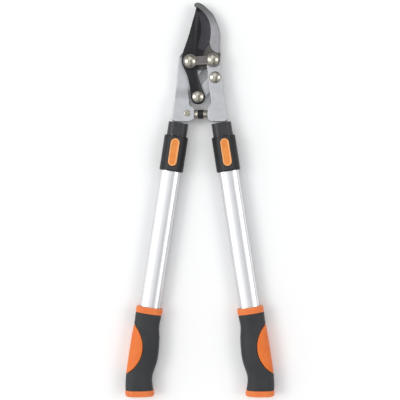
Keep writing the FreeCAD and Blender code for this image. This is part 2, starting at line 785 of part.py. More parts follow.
def bumper():
    """The rubber stop between the arms, held in two steel cups."""
    height = size("tube_height")
    middle = size("bumper_y")
    left = size("bumper_left_x")
    right = size("bumper_right_x")
    radius = size("bumper_radius")
    length = size("cup_length")
    floor = size("cup_floor")
    inside = radius - size("cup_wall")
    gap = size("fit_gap")

    def drum(start, end, drum_radius):
        foot = V(start, middle, height)
        return Part.makeCylinder(drum_radius, end - start, foot, V(1, 0, 0))

    left_cup = drum(left, left + length, radius)
    left_cup = left_cup.cut(drum(left + floor, left + length + 1, inside))
    right_cup = drum(right - length, right, radius)
    right_cup = right_cup.cut(drum(right - length - 1, right - floor, inside))
    core = drum(left + floor + gap, right - floor - gap, inside - gap / 2)
    bulge = drum(left + length + gap, right - length - gap, radius - gap)
    face = size("strike_face_x")
    strike = drum(face - size("strike_thickness"), face, size("strike_radius"))
    top = size("boss_back_z") + size("boss_depth")
    screw_top = V(size("boss_screw_x"), size("boss_screw_y"), top)
    screw_length = size("boss_screw_length")
    shank = Part.makeCylinder(size("rivet_radius"), screw_length, screw_top - UP * screw_length)
    head = Part.makeCylinder(size("boss_screw_head"), size("boss_screw_rise"), screw_top)
    for label, shape in (
        ("boss_screw", shank.fuse(head).removeSplitter()),
        ("bumper_left_cup", left_cup),
        ("bumper_right_cup", right_cup),
        ("bumper_rubber", core.fuse(bulge).removeSplitter()),
        ("bumper_strike", strike),
    ):
        item = doc.addObject("Part::Feature", label)
        item.Shape = shape


# The handles ---------------------------------------------------------------------

COLLAR_RIVETS = (36.0, 74.0)


def tube(label, side, width, depth, start, end):
    """A flat-sided oval tube along the handle."""
    body = new_body(label, handle_placement(side))
    wall = " - 2 * Sizes.tube_wall"
    outer = racetrack_sketch(body, width, depth, start)
    pad(body, outer, f"{end} - {start}")
    bore = racetrack_sketch(body, width + wall, depth + wall, f"{start} - 1")
    pocket(body, bore, f"{end} - {start} + 2", backwards=True)
    return body


def side_holes(body, places, radius, start="0", depth="20"):
    """Round holes cut forwards into a handle's piece, at places down its length."""
    sketch = new_sketch(body, [], "XZ_Plane", start)
    for place in places:
        add_circle(sketch, "0", place, radius)
    return pocket(body, sketch, depth)


def handle(side):
    """All pieces of one telescopic handle, from the ferrule to the grip."""
    name = "left" if side < 0 else "right"
    place = handle_placement(side)

    ferrule = new_body(f"{name}_ferrule", place)
    outline = racetrack_sketch(ferrule, "Sizes.ferrule_width", "Sizes.ferrule_depth")
    pad(ferrule, outline, "Sizes.ferrule_length")
    fit = " + Sizes.fit_gap"
    bore = racetrack_sketch(
        ferrule,
        "Sizes.inner_width" + fit,
        "Sizes.inner_depth" + fit,
        "Sizes.inner_start - Sizes.fit_gap",
    )
    pocket(ferrule, bore, "Sizes.ferrule_length", backwards=True)
    throat = new_sketch(ferrule, box_outline("tang_width", "tang_depth", "fit_gap"), lift="-1")
    pocket(ferrule, throat, "Sizes.inner_start + 2", backwards=True)

    inner = tube(
        f"{name}_inner_tube",
        side,
        "Sizes.inner_width",
        "Sizes.inner_depth",
        "Sizes.inner_start",
        "Sizes.inner_end",
    )
    first = "Sizes.lever_centre - Sizes.tooth_offset"
    index = [f"{first} + {step} * Sizes.index_pitch" for step in range(7)]
    side_holes(inner, index, "Sizes.index_radius")
    side_holes(inner, [str(along) for along in TANG_RIVETS], "Sizes.rivet_hole", "15", "30")

    outer = tube(
        f"{name}_outer_tube",
        side,
        "Sizes.outer_width",
        "Sizes.outer_depth",
        "Sizes.outer_start",
        "Sizes.outer_end",
    )
    side_holes(outer, [first], "Sizes.index_radius")
    collar_pins = [str(along) for along in COLLAR_RIVETS]
    pin_hole = "Sizes.collar_rivet_radius + Sizes.pin_gap"
    side_holes(outer, collar_pins, pin_hole, "20", "15")
    tang_rivets(name, side)
    glide_plug(name, side)
    lock_collar(name, side)
    lock_lever(name, side)
    collar_rivets(name, side)
    grip(name, side)


def box_outline(width, depth, gap):
    """A rectangle centred on the tube's axis."""
    wide = size(width) / 2 + size(gap)
    deep = size(depth) / 2 + size(gap)
    return closed([(-wide, -deep), (wide, -deep), (wide, deep), (-wide, deep)])


def in_place(label, shape, side):
    """Stores a shape made in the handle's own frame."""
    item = doc.addObject("Part::Feature", label)
    item.Shape = shape
    item.Placement = handle_placement(side)
    return item


def across_rod(radius, length, lift, along):
    """A rod from front to back, or from side to side, in the handle's frame."""
    return Part.makeCylinder(radius, length, V(-length / 2, lift, along), V(1, 0, 0))


def front_rod(radius, length, start, along):
    return Part.makeCylinder(radius, length, V(0, start, along), V(0, 1, 0))


def tang_rivets(name, side):
    """Two rivets through the inner tube and the arm's tang."""
    length = size("inner_depth") - 2 * size("fit_gap")
    radius = size("rivet_radius")
    pins = [front_rod(radius, length, -length / 2, along) for along in TANG_RIVETS]
    in_place(f"{name}_tang_rivets", Part.makeCompound(pins), side)


def glide_plug(name, side):
    """The plastic plug on the end of the inner tube that runs in the outer tube."""
    plug = new_body(f"{name}_glide_plug", handle_placement(side))
    end = "Sizes.inner_end"
    fit = " + 2 * Sizes.plug_gap"
    head = racetrack_sketch(plug, "Sizes.inner_width" + fit, "Sizes.inner_depth" + fit, end)
    pad(plug, head, "Sizes.plug_head")
    inside = " - 2 * Sizes.tube_wall - Sizes.fit_gap"
    stem = racetrack_sketch(
        plug,
        "Sizes.inner_width" + inside,
        "Sizes.inner_depth" + inside,
        end + " - Sizes.plug_stem",
    )
    pad(plug, stem, "Sizes.plug_stem + 1")


def flat_oval(width, depth, length, start):
    """A flat-sided oval bar along the handle, made directly."""
    face = Part.Face(Part.Wire([edge.toShape() for edge in racetrack(width, depth)]))
    bar = face.extrude(V(0, 0, length))
    bar.translate(V(0, 0, start))
    return bar


def lever_outline(gap):
    """The lever's round-ended outline, seen from the front, grown by a gap."""
    long = size("lever_length") + 2 * gap
    wide = size("lever_width") + 2 * gap
    face = Part.Face(Part.Wire([edge.toShape() for edge in racetrack(long, wide)]))
    face.rotate(V(0, 0, 0), UP, 90)
    face.rotate(V(0, 0, 0), V(1, 0, 0), 90)
    face.translate(V(0, 0, size("lever_centre")))
    return face


def lock_collar(name, side):
    """The collar on the outer tube's mouth, with a window for the lever."""
    start = size("collar_start")
    length = size("collar_length")
    gap = size("fit_gap")
    clear = size("mouth_gap")
    hole = size("collar_rivet_radius") + size("pin_gap")
    collar = flat_oval(size("collar_width"), size("collar_depth"), length, start)
    rims = [edge for edge in collar.Edges if edge.BoundBox.ZLength < ROUND_OFF]
    collar = collar.makeFillet(size("collar_round"), rims)
    wide = size("outer_width") + gap
    seat = flat_oval(wide, size("outer_depth") + gap, length, size("outer_start"))
    mouth = flat_oval(size("inner_width") + clear, size("inner_depth") + clear, 10, start - 2)
    window = lever_outline(size("lever_gap")).extrude(V(0, 20, 0))
    pin = across_rod(
        size("lever_pin_radius") + size("pin_gap"),
        size("lever_pin_length") + gap,
        size("lever_pin_lift"),
        size("lever_centre"),
    )
    collar = collar.cut(seat).cut(mouth).cut(window).cut(pin)
    for along in COLLAR_RIVETS:
        collar = collar.cut(front_rod(hole, 20, -20, along))
    in_place(f"{name}_lock_collar", collar, side)


def lock_lever(name, side):
    """The rocking lever, its tooth, its pin and the spring under its lower end."""
    centre = size("lever_centre")
    lift = size("lever_lift")
    pin_lift = size("lever_pin_lift")
    radius = size("lever_pin_radius")
    thickness = size("lever_thickness")
    plate = lever_outline(0).extrude(V(0, thickness, 0))
    plate.translate(V(0, lift, 0))
    level = [edge for edge in plate.Edges if edge.BoundBox.YLength < ROUND_OFF]
    rim = [edge for edge in level if edge.BoundBox.YMin > lift + thickness / 2]
    plate = plate.makeFillet(size("lever_round"), rim)
    lug = across_rod(radius + size("lug_wall"), size("lug_length"), pin_lift, centre)
    tooth_foot = size("inner_depth") / 2 + size("tooth_gap")
    tooth_length = lift + thickness / 2 - tooth_foot
    tooth_place = centre - size("tooth_offset")
    tooth = front_rod(size("tooth_radius"), tooth_length, tooth_foot, tooth_place)
    hole = across_rod(radius + 0.05, 2 * size("lever_width"), pin_lift, centre)
    lever = plate.fuse(lug).fuse(tooth).cut(hole)
    in_place(f"{name}_lock_lever", lever.removeSplitter(), side)
    pin = across_rod(radius, size("lever_pin_length"), pin_lift, centre)
    in_place(f"{name}_lever_pin", pin, side)
    foot = size("outer_depth") / 2 + 0.05
    height = lift - foot - 0.05
    place = centre + size("spring_offset")
    coil = front_rod(size("spring_radius"), height, foot, place)
    coil = coil.cut(front_rod(size("spring_bore"), height + 1, foot - 0.5, place))
    in_place(f"{name}_lever_spring", coil, side)


def collar_rivets(name, side):
    """Two short rivets that hold the collar to the outer tube."""
    start = size("outer_depth") / 2 - size("tube_wall")
    length = size("collar_depth") / 2 - start - 2 * size("fit_gap")
    radius = size("collar_rivet_radius")
    pins = [front_rod(radius, length, -start - length, along) for along in COLLAR_RIVETS]
    in_place(f"{name}_collar_rivets", Part.makeCompound(pins), side)


# The grip's half widths down its length: distance below its mouth, then how far it
# reaches outwards and inwards from the tube's axis, and its half depth.
GRIP_SECTIONS = (
    (0.0, 23.0, 22.5, 16.3),
    (12.0, 23.4, 22.0, 16.4),
    (32.0, 22.8, 21.3, 16.4),
    (52.0, 23.5, 24.8, 17.2),
    (78.0, 23.7, 27.0, 17.8),
    (95.0, 23.6, 26.4, 17.6),
    (118.0, 23.5, 22.6, 16.8),
    (132.0, 22.8, 24.6, 17.2),
    (149.0, 20.4, 30.0, 17.8),
    (176.0, 15.0, 34.0, 17.8),
)
ROUNDNESS = 2.5
POINTS_ROUND = 16


def grip_section(side, along, outward, inward, deep, shrink=0.0):
    """One closed section of the grip, a rounded oval with unequal sides."""
    points = []
    for step in range(POINTS_ROUND):
        angle = 2 * math.pi * step / POINTS_ROUND
        c = math.cos(angle)
        s = math.sin(angle)
        reach = (outward if c > 0 else inward) - shrink
        x = side * reach * math.copysign(abs(c) ** (2 / ROUNDNESS), c)
        y = (deep - shrink) * math.copysign(abs(s) ** (2 / ROUNDNESS), s)
        points.append(V(x, y, along))
    section = Part.BSplineCurve()
    section.interpolate(points, PeriodicFlag=True)
    return Part.Wire([section.toShape()])


def grip_form(side, shrink=0.0):
    """The whole grip's outer form, from its mouth to beyond its end."""
    start = size("grip_start")
    wires = [
        grip_section(side, start + along, outward, inward, deep, shrink)
        for along, outward, inward, deep in GRIP_SECTIONS
    ]
    return Part.makeLoft(wires, True, False)


def beyond_end(side, back):
    """Everything past a plane that is square to +Y, a little before the grip's end."""
    place = handle_placement(side)
    end = place.multVec(V(0, 0, size("outer_end")))
    edge = size("grip_end_y") + back
    block = Part.makeBox(200, 100, 100, V(end.x - 100, edge - 100, end.z - 50))
    block.transformShape(place.inverse().toMatrix())
    return block


def grip(name, side):
    """The moulded grip with its ring, side pad and end cap."""
    start = size("grip_start")
    ring_end = start + size("grip_ring_length")
    form = grip_form(side)
    wide = size("outer_width") + size("fit_gap")
    deep = size("outer_depth") + size("fit_gap")
    bore_start = start - 5
    tube_bore = flat_oval(wide, deep, 200, bore_start)
    bore_end = size("outer_end") + size("mouth_gap")
    cap_bore = flat_oval(wide, deep, bore_end - bore_start, bore_start)
    whole = form.cut(beyond_end(side, 0))
    mouth_block = Part.makeBox(100, 100, ring_end - start, V(-50, -50, start))
    mouth = whole.common(mouth_block).cut(tube_bore)
    in_place(f"{name}_grip_ring", mouth, side)
    cap_block = beyond_end(side, size("grip_cap_length"))
    cap = whole.common(cap_block).cut(cap_bore)
    in_place(f"{name}_grip_cap", cap, side)
    oval = Part.Ellipse(V(0, 0, 0), size("pad_across"), size("pad_along"))
    face = Part.Face(Part.Wire([oval.toShape()]))
    face.rotate(V(0, 0, 0), V(1, 0, 0), 90)
    face.translate(V(side * size("pad_offset"), -40, size("pad_centre")))
    prism = face.extrude(V(0, 80, 0))
    pad_region = prism.cut(grip_form(side, size("pad_thickness")))
    side_pad = pad_region.common(whole)
    in_place(f"{name}_grip_pad", side_pad, side)
    body = whole.cut(mouth_block).cut(cap_block).cut(pad_region).cut(cap_bore)
    in_place(f"{name}_grip", body, side)


front_strap()
drive_link()
blade()
hook()
left_arm()
right_arm()
pivot_hardware()
bumper()
for side in (-1, 1):
    handle(side)
doc.recompute()

for item in doc.Objects:
    bad = [word for word in item.State if word in ("Invalid", "Error")]
    if bad:
        raise RuntimeError(f"{item.Label} is {bad}")
os.makedirs("parts", exist_ok=True)
used = set()
for item in doc.Objects:
    if item.TypeId.startswith("Part::"):
        used.update(child.Name for child in item.OutList)
for item in doc.Objects:
    whole = item.TypeId.startswith(("Part::", "PartDesign::Body"))
    if not whole or item.Name in used or not hasattr(item, "Shape"):
        continue
    if item.Shape.isNull() or not item.Shape.isValid():
        raise RuntimeError(f"{item.Label} has no valid shape")
    item.Shape.exportStep(f"parts/{item.Label}.step")
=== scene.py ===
import json
import math

import bmesh
import bpy
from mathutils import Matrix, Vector


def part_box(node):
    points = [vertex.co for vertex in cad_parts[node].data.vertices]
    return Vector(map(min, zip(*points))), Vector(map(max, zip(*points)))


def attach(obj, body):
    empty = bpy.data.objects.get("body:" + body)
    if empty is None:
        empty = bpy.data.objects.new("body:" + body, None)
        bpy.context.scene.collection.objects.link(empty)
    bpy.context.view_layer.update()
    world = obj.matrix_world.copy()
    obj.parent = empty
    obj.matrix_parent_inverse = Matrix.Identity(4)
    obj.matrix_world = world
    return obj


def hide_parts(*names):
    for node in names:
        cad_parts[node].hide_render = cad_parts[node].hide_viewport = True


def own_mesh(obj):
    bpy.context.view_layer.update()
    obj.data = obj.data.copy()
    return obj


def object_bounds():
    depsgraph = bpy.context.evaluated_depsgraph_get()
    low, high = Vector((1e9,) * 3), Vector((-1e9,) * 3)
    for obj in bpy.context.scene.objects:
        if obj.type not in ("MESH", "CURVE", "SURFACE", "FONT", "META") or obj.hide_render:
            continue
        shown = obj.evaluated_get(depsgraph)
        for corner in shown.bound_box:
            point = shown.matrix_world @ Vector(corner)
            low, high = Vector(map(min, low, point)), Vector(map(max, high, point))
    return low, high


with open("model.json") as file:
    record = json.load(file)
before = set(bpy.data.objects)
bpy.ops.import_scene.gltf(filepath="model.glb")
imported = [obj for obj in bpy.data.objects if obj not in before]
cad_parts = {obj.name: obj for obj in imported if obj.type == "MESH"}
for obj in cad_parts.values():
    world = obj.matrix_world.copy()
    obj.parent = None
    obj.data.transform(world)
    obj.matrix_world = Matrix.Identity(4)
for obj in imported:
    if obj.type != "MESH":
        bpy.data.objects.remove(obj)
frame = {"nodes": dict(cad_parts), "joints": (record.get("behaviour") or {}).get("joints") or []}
cad_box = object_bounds()

MM = 0.001
UP = Vector((0, 0, 1))
JOINTS = {joint["name"]: joint for joint in frame["joints"]}


# Shader maths ------------------------------------------------------------------


class Value:
    """One socket of a node tree. Arithmetic on it adds Math nodes."""

    def __init__(self, tree, socket):
        self.tree = tree
        self.socket = socket

    def maths(self, operation, *others):
        sockets = dict(enumerate((self, *others)))
        return self.tree.node("ShaderNodeMath", {"operation": operation}, sockets)

    def flipped(self, operation, other):
        sockets = {0: other, 1: self}
        return self.tree.node("ShaderNodeMath", {"operation": operation}, sockets)

    def __add__(self, other):
        return self.maths("ADD", other)

    def __sub__(self, other):
        return self.maths("SUBTRACT", other)

    def __mul__(self, other):
        return self.maths("MULTIPLY", other)

    def __truediv__(self, other):
        return self.maths("DIVIDE", other)

    def __pow__(self, other):
        return self.maths("POWER", other)

    def __abs__(self):
        return self.maths("ABSOLUTE")

    def __rsub__(self, other):
        return self.flipped("SUBTRACT", other)

    def __rtruediv__(self, other):
        return self.flipped("DIVIDE", other)

    __radd__ = __add__
    __rmul__ = __mul__

    def most(self, other):
        return self.maths("MAXIMUM", other)

    def step(self, low, high):
        """0 below low, 1 above high, and a smooth rise between them."""
        sockets = {0: self, 1: low, 2: high, 3: 0.0, 4: 1.0}
        settings = {"interpolation_type": "SMOOTHSTEP"}
        return self.tree.node("ShaderNodeMapRange", settings, sockets)


class Tree:
    """A node tree that nodes are added to by type, settings and sockets."""

    def __init__(self, nodes, links):
        self.nodes = nodes
        self.links = links

    def node(self, kind, settings=None, sockets=None, output=0):
        made = self.nodes.new(kind)
        for name, setting in (settings or {}).items():
            setattr(made, name, setting)
        for name, value in (sockets or {}).items():
            if isinstance(value, Value):
                self.links.new(value.socket, made.inputs[name])
            else:
                made.inputs[name].default_value = value
        return Value(self, made.outputs[output])

    def parts(self, vector):
        """The x, y and z of a vector."""
        first = self.node("ShaderNodeSeparateXYZ", None, {0: vector})
        return [Value(self, socket) for socket in first.socket.node.outputs]

    def blend(self, factor, first, second):
        """A colour between two colours, which the node keeps at sockets 6, 7 and 2."""
        sockets = {0: factor, 6: wide(first), 7: wide(second)}
        return self.node("ShaderNodeMix", {"data_type": "RGBA"}, sockets, output=2)


def wide(colour):
    """A colour with its alpha, or a link as it is."""
    return colour if isinstance(colour, Value) else (*colour, 1)


class Finish(Tree):
    """A material with one principled shader, whose constants are set on its sockets."""

    def __init__(self, name, **constants):
        self.material = bpy.data.materials.new(name)
        self.material.use_nodes = True
        tree = self.material.node_tree
        super().__init__(tree.nodes, tree.links)
        self.shader = tree.nodes["Principled BSDF"]
        for socket, value in constants.items():
            self.shader.inputs[socket.replace("_", " ")].default_value = value
        coordinates = self.nodes.new("ShaderNodeTexCoord")
        self.place = Value(self, coordinates.outputs["Object"])

    def made(self, colour, roughness, normal=None):
        """Feeds the shader what changes over the surface, and gives the material."""
        fed = {"Base Color": colour, "Roughness": roughness, "Normal": normal}
        for socket, value in fed.items():
            if value:
                self.links.new(value.socket, self.shader.inputs[socket])
        return self.material

    def stretched(self, scale, turn=0.0):
        """Object coordinates turned about Z, then scaled along each axis."""
        sockets = {0: self.place, "Rotation": (0, 0, turn), "Scale": scale}
        return self.node("ShaderNodeMapping", None, sockets)

    def noise(self, scale, detail=3.0, roughness=0.55, place=None):
        sockets = {
            "Vector": place or self.place,
            "Scale": scale,
            "Detail": detail,
            "Roughness": roughness,
        }
        return self.node("ShaderNodeTexNoise", None, sockets)

    def bump(self, height, distance, strength=1.0, under=None):
        sockets = {"Height": height, "Distance": distance, "Strength": strength}
        if under:
            sockets["Normal"] = under
        return self.node("ShaderNodeBump", None, sockets)

    def corners(self, low, high):
        """1 on outer corners and edges, 0 on flat ground."""
        return self.node("ShaderNodeNewGeometry", output="Pointiness").step(low, high)


# Finishes ------------------------------------------------------------------------

# How far up the tool, in metres, the painted shadow on the arms' tops begins and is full.
ARM_SHADOW_RISE = (0.2465, 0.2505)
# The hook's jaw is ground bright inside a circle, and everywhere above its centre.
GROUND_CENTRE = (0.0352, 0.2737)
GROUND_RADIUS = 0.0175
# Half the width of the ground area's edge, and how far it wanders, in metres.
GROUND_EDGE = 0.0009
GROUND_WANDER = 0.0016
# How far up the tool, in metres, the bright jaw begins to darken and is dark.
DARK_TIP = (0.294, 0.338)
# The hook's back: its x in mm is a cubic in the height above a level, in steps of 50 mm.
BACK_CUBIC = (-9.405, -19.919, -11.842, 33.57)
BACK_LEVEL = 0.300
BACK_STEP = 0.05
# How far inside the hook's back, in mm, the forged skin ends.
SKIN_DEPTH = (0.8, 3.6)


def cast_alloy():
    """Die-cast aluminium, shot blasted to an even grey with a fine grain. Its edges carry painted
    shade, and the arms' tops a painted shadow.
    """
    finish = Finish("blasted cast alloy", Metallic=0.85, IOR=1.45)
    grain = finish.noise(2600, 4, 0.7)
    mottle = finish.noise(60, 5, 0.6)
    edge_mask = finish.corners(0.51, 0.56)
    shade = finish.blend(mottle.step(0.3, 0.7), (0.46, 0.47, 0.49), (0.54, 0.55, 0.57))
    shade = finish.blend(grain.step(0.35, 0.75) * 0.35, shade, (0.70, 0.71, 0.73))
    # Painted shade: the edges and corners are blended towards a darker grey.
    shade = finish.blend(edge_mask * 0.55, shade, (0.36, 0.365, 0.375))
    up_the_tool = finish.parts(finish.place)[1]
    # Painted shadow: the colour darkens above this height, where the blade and hook lie over the arms'
    # tops.
    shadowed_top = (up_the_tool + (mottle - 0.5) * 0.002).step(*ARM_SHADOW_RISE)
    shade = finish.blend(shadowed_top * 0.8, shade, (0.12, 0.12, 0.115))
    roughness = 0.50 + mottle * 0.16 - edge_mask * 0.12
    fine = finish.bump(grain, 0.00012, 0.5)
    return finish.made(shade, roughness, finish.bump(mottle, 0.0006, 0.25, fine))


def blade_coating():
    """Black low-friction coating over the blade's flat, with faint rolling lines."""
    finish = Finish("black blade coating", Specular_IOR_Level=0.22)
    lines = finish.noise(900, 3, 0.6, finish.stretched((1.0, 0.08, 1.0), 0.25))
    patches = finish.noise(45, 4, 0.6)
    edge_mask = finish.corners(0.515, 0.57)
    shade = finish.blend(patches.step(0.3, 0.75), (0.005, 0.005, 0.006), (0.011, 0.011, 0.013))
    shade = finish.blend(lines.step(0.62, 0.8) * 0.3, shade, (0.035, 0.035, 0.038))
    shade = finish.blend(edge_mask * 0.35, shade, (0.10, 0.10, 0.105))
    roughness = 0.34 + patches * 0.14 + lines * 0.06
    return finish.made(shade, roughness, finish.bump(lines, 0.00008, 0.35))


def blade_bevel():
    """The ground bevel: coated thinly, so that the grinding lines show through."""
    finish = Finish("ground blade bevel", Metallic=0.5, Specular_IOR_Level=0.25)
    lines = finish.noise(1500, 3, 0.65, finish.stretched((0.10, 1.0, 1.0), 0.15))
    patches = finish.noise(70, 3, 0.5)
    shade = finish.blend(lines.step(0.3, 0.7), (0.034, 0.032, 0.040), (0.060, 0.057, 0.068))
    roughness = 0.36 + patches * 0.16
    return finish.made(shade, roughness, finish.bump(lines, 0.00010, 0.4))


def hook_steel():
    """Dark forged steel whose jaw is ground bright down to a round boundary."""
    finish = Finish("forged hook, ground jaw", Metallic=0.9, IOR=1.5)
    x, y = finish.parts(finish.place)[:2]
    away_x = x - GROUND_CENTRE[0]
    away_y = y - GROUND_CENTRE[1]
    away = (away_x * away_x + away_y * away_y) ** 0.5
    ragged = finish.noise(260, 3, 0.6) - 0.5
    wander = ragged * GROUND_WANDER
    outside = (away + wander).step(GROUND_RADIUS - GROUND_EDGE, GROUND_RADIUS + GROUND_EDGE)
    above = (y + wander).step(GROUND_CENTRE[1] - GROUND_EDGE, GROUND_CENTRE[1] + GROUND_EDGE)
    ground = (1 - outside).most(above)
    tip = y.step(*DARK_TIP)
    height = (y - BACK_LEVEL) / BACK_STEP
    cubed, squared, plain, constant = BACK_CUBIC
    back = ((height * cubed + squared) * height + plain) * height + constant
    skin_left = 1 - (back - x * 1000 + ragged * 2).step(*SKIN_DEPTH)
    lines = finish.noise(1500, 3, 0.6, finish.stretched((1.0, 0.12, 1.0), -0.1))
    scale = finish.noise(420, 5, 0.7)
    bright = finish.blend(lines.step(0.3, 0.7), (0.32, 0.32, 0.335), (0.46, 0.46, 0.48))
    bright = finish.blend(skin_left * 0.55, bright, (0.22, 0.22, 0.22))
    bright = finish.blend(tip * 0.92, bright, (0.13, 0.13, 0.13))
    dark = finish.blend(scale.step(0.35, 0.7), (0.085, 0.08, 0.074), (0.16, 0.15, 0.14))
    roughness = 0.52 - ground * 0.16 + lines * 0.08
    relief = lines * ground + scale * (1 - ground) * 2
    return finish.made(finish.blend(ground, dark, bright), roughness, finish.bump(relief, 0.00010, 0.4))


def plate_steel(name, low, high, base_roughness=0.42):
    """Rolled, phosphated plate with faint lines and small dark specks."""
    finish = Finish(name, Metallic=0.85, IOR=1.5)
    lines = finish.noise(800, 4, 0.6, finish.stretched((0.15, 1.0, 1.0), 0.06))
    specks = finish.noise(1400, 2, 0.5)
    edge_mask = finish.corners(0.515, 0.57)
    shade = finish.blend(lines.step(0.3, 0.7), low, high)
    shade = finish.blend(specks.step(0.62, 0.72) * 0.4, shade, [c * 0.4 for c in low])
    shade = finish.blend(edge_mask * 0.45, shade, [min(1, c * 2.2) for c in high])
    roughness = base_roughness + lines * 0.12 - edge_mask * 0.1
    return finish.made(shade, roughness, finish.bump(lines + specks * 0.5, 0.00010, 0.35))


def bright_nickel():
    """Polished nickel plating with handling marks."""
    finish = Finish("polished nickel", Metallic=1.0)
    cloud = finish.noise(120, 4, 0.6)
    marks = finish.noise(2200, 3, 0.7, finish.stretched((1.0, 0.2, 1.0), 0.7))
    shade = finish.blend(cloud.step(0.3, 0.7), (0.40, 0.37, 0.31), (0.52, 0.49, 0.43))
    roughness = 0.12 + cloud * 0.08 + marks.step(0.6, 0.8) * 0.15
    return finish.made(shade, roughness, finish.bump(marks, 0.00002, 0.3))


def bush_bronze():
    """Sintered bronze, slightly oily."""
    finish = Finish("sintered bronze", Metallic=1.0)
    pores = finish.noise(2400, 3, 0.6)
    shade = finish.blend(pores.step(0.35, 0.7), (0.30, 0.17, 0.06), (0.52, 0.34, 0.15))
    roughness = 0.35 + pores * 0.2
    return finish.made(shade, roughness, finish.bump(pores, 0.00006, 0.4))


def satin_tube(turn):
    """Drawn aluminium tube, satin anodised, with faint lines along its length."""
    finish = Finish("satin anodised tube", Metallic=1.0)
    lines = finish.noise(1800, 3, 0.6, finish.stretched((1.0, 0.02, 1.0), turn))
    cloud = finish.noise(25, 4, 0.6)
    shade = finish.blend(lines.step(0.25, 0.75), (0.80, 0.805, 0.82), (0.88, 0.885, 0.90))
    shade = finish.blend(cloud.step(0.4, 0.8) * 0.25, shade, (0.74, 0.745, 0.76))
    # Painted shade: the tube's sides, where the surface turns away from above, are blended darker.
    upward = finish.parts(finish.node("ShaderNodeNewGeometry", output="Normal"))[2]
    shade = finish.blend((1 - upward.step(0.1, 0.55)) * 0.75, shade, (0.36, 0.365, 0.38))
    roughness = 0.24 + lines * 0.10 + cloud * 0.06
    return finish.made(shade, roughness, finish.bump(lines, 0.00003, 0.35))


def black_nylon():
    """Glass-filled nylon with a spark-eroded grain."""
    finish = Finish("black moulded nylon", Specular_IOR_Level=0.32)
    grain = finish.noise(2200, 3, 0.6)
    cloud = finish.noise(50, 4, 0.6)
    edge_mask = finish.corners(0.515, 0.58)
    shade = finish.blend(cloud.step(0.3, 0.75), (0.010, 0.010, 0.012), (0.019, 0.019, 0.022))
    shade = finish.blend(edge_mask * 0.3, shade, (0.09, 0.09, 0.095))
    roughness = 0.42 + cloud * 0.12 - edge_mask * 0.08
    return finish.made(shade, roughness, finish.bump(grain, 0.00010, 0.35))


def orange_plastic():
    """Orange moulded plastic of the lock levers, paler on its rim as a painted highlight."""
    finish = Finish("orange moulded plastic", IOR=1.48, Coat_Roughness=0.25)
    finish.shader.inputs["Subsurface Weight"].default_value = 0.05
    grain = finish.noise(1600, 2, 0.5)
    cloud = finish.noise(80, 4, 0.6)
    edge_mask = finish.corners(0.505, 0.53)
    shade = finish.blend(cloud.step(0.3, 0.7), (0.78, 0.235, 0.035), (0.84, 0.28, 0.05))
    # Painted highlight: the rim and edges are blended towards a pale orange.
    shade = finish.blend(edge_mask * 0.7, shade, (0.98, 0.48, 0.20))
    roughness = 0.36 + cloud * 0.12
    return finish.made(shade, roughness, finish.bump(grain, 0.00005, 0.3))


# Each moulded rubber: its name, its two colours, the colour where it is worn, its
# roughness and the depth of its grain.
RUBBERS = {
    # The seat's dark brown is painted shade: it stands for the shadow in the recess round the lever.
    "seat": (
        "dark lever lip",
        (0.018, 0.008, 0.005),
        (0.03, 0.012, 0.007),
        (0.06, 0.025, 0.012),
        0.6,
        0.00006,
    ),
    "grip": (
        "charcoal grip rubber",
        (0.026, 0.027, 0.030),
        (0.038, 0.039, 0.043),
        (0.075, 0.075, 0.08),
        0.52,
        0.00014,
    ),
    "pad": (
        "orange pad rubber",
        (0.74, 0.15, 0.022),
        (0.80, 0.20, 0.036),
        (0.96, 0.40, 0.13),
        0.45,
        0.00008,
    ),
    "orange": (
        "orange grip ends",
        (0.74, 0.16, 0.035),
        (0.82, 0.21, 0.055),
        (0.92, 0.38, 0.16),
        0.48,
        0.00008,
    ),
}


def grip_rubber(name, low, high, worn_colour, base_roughness, grain_depth):
    """Soft moulded rubber with a fine pebble grain and slightly polished crowns."""
    finish = Finish(name, Specular_IOR_Level=0.3, Sheen_Weight=0.04, Sheen_Roughness=0.5)
    pebble = finish.node(
        "ShaderNodeTexVoronoi",
        {"feature": "SMOOTH_F1"},
        {"Vector": finish.place, "Scale": 1100.0, "Smoothness": 0.6},
    )
    fine = finish.noise(3000, 3, 0.6)
    cloud = finish.noise(28, 5, 0.6)
    dust = finish.noise(220, 5, 0.7)
    edge_mask = finish.corners(0.51, 0.56)
    shade = finish.blend(cloud.step(0.3, 0.75), low, high)
    shade = finish.blend(dust.step(0.55, 0.8) * 0.25, shade, high)
    shade = finish.blend(edge_mask * 0.35, shade, worn_colour)
    roughness = base_roughness + cloud * 0.14 - edge_mask * 0.1
    grained = finish.bump(pebble, grain_depth, 0.45)
    return finish.made(shade, roughness, finish.bump(fine, grain_depth * 0.5, 0.3, grained))


def stop_rubber():
    """Plain black rubber of the stop, dusty where it is squeezed."""
    finish = Finish("black stop rubber", IOR=1.5)
    fine = finish.noise(1200, 4, 0.6)
    cloud = finish.noise(200, 4, 0.6)
    shade = finish.blend(cloud.step(0.35, 0.75), (0.012, 0.012, 0.012), (0.03, 0.029, 0.028))
    roughness = 0.55 + cloud * 0.2
    return finish.made(shade, roughness, finish.bump(fine, 0.00015, 0.4))


def floor_paper():
    """Pale matt paper."""
    finish = Finish("pale paper floor")
    fibre = finish.noise(300, 4, 0.6)
    shade = finish.blend(fibre.step(0.3, 0.7), (0.955, 0.955, 0.955), (0.965, 0.965, 0.965))
    roughness = 0.8 + fibre * 0.1
    return finish.made(shade, roughness)


# Mesh helpers ----------------------------------------------------------------------


def link(obj):
    bpy.context.scene.collection.objects.link(obj)
    return obj


def flat_mesh(obj):
    """Turns an object's modifiers into a plain mesh."""
    graph = bpy.context.evaluated_depsgraph_get()
    mesh = bpy.data.meshes.new_from_object(obj.evaluated_get(graph))
    obj.modifiers.clear()
    obj.data = mesh
    return obj


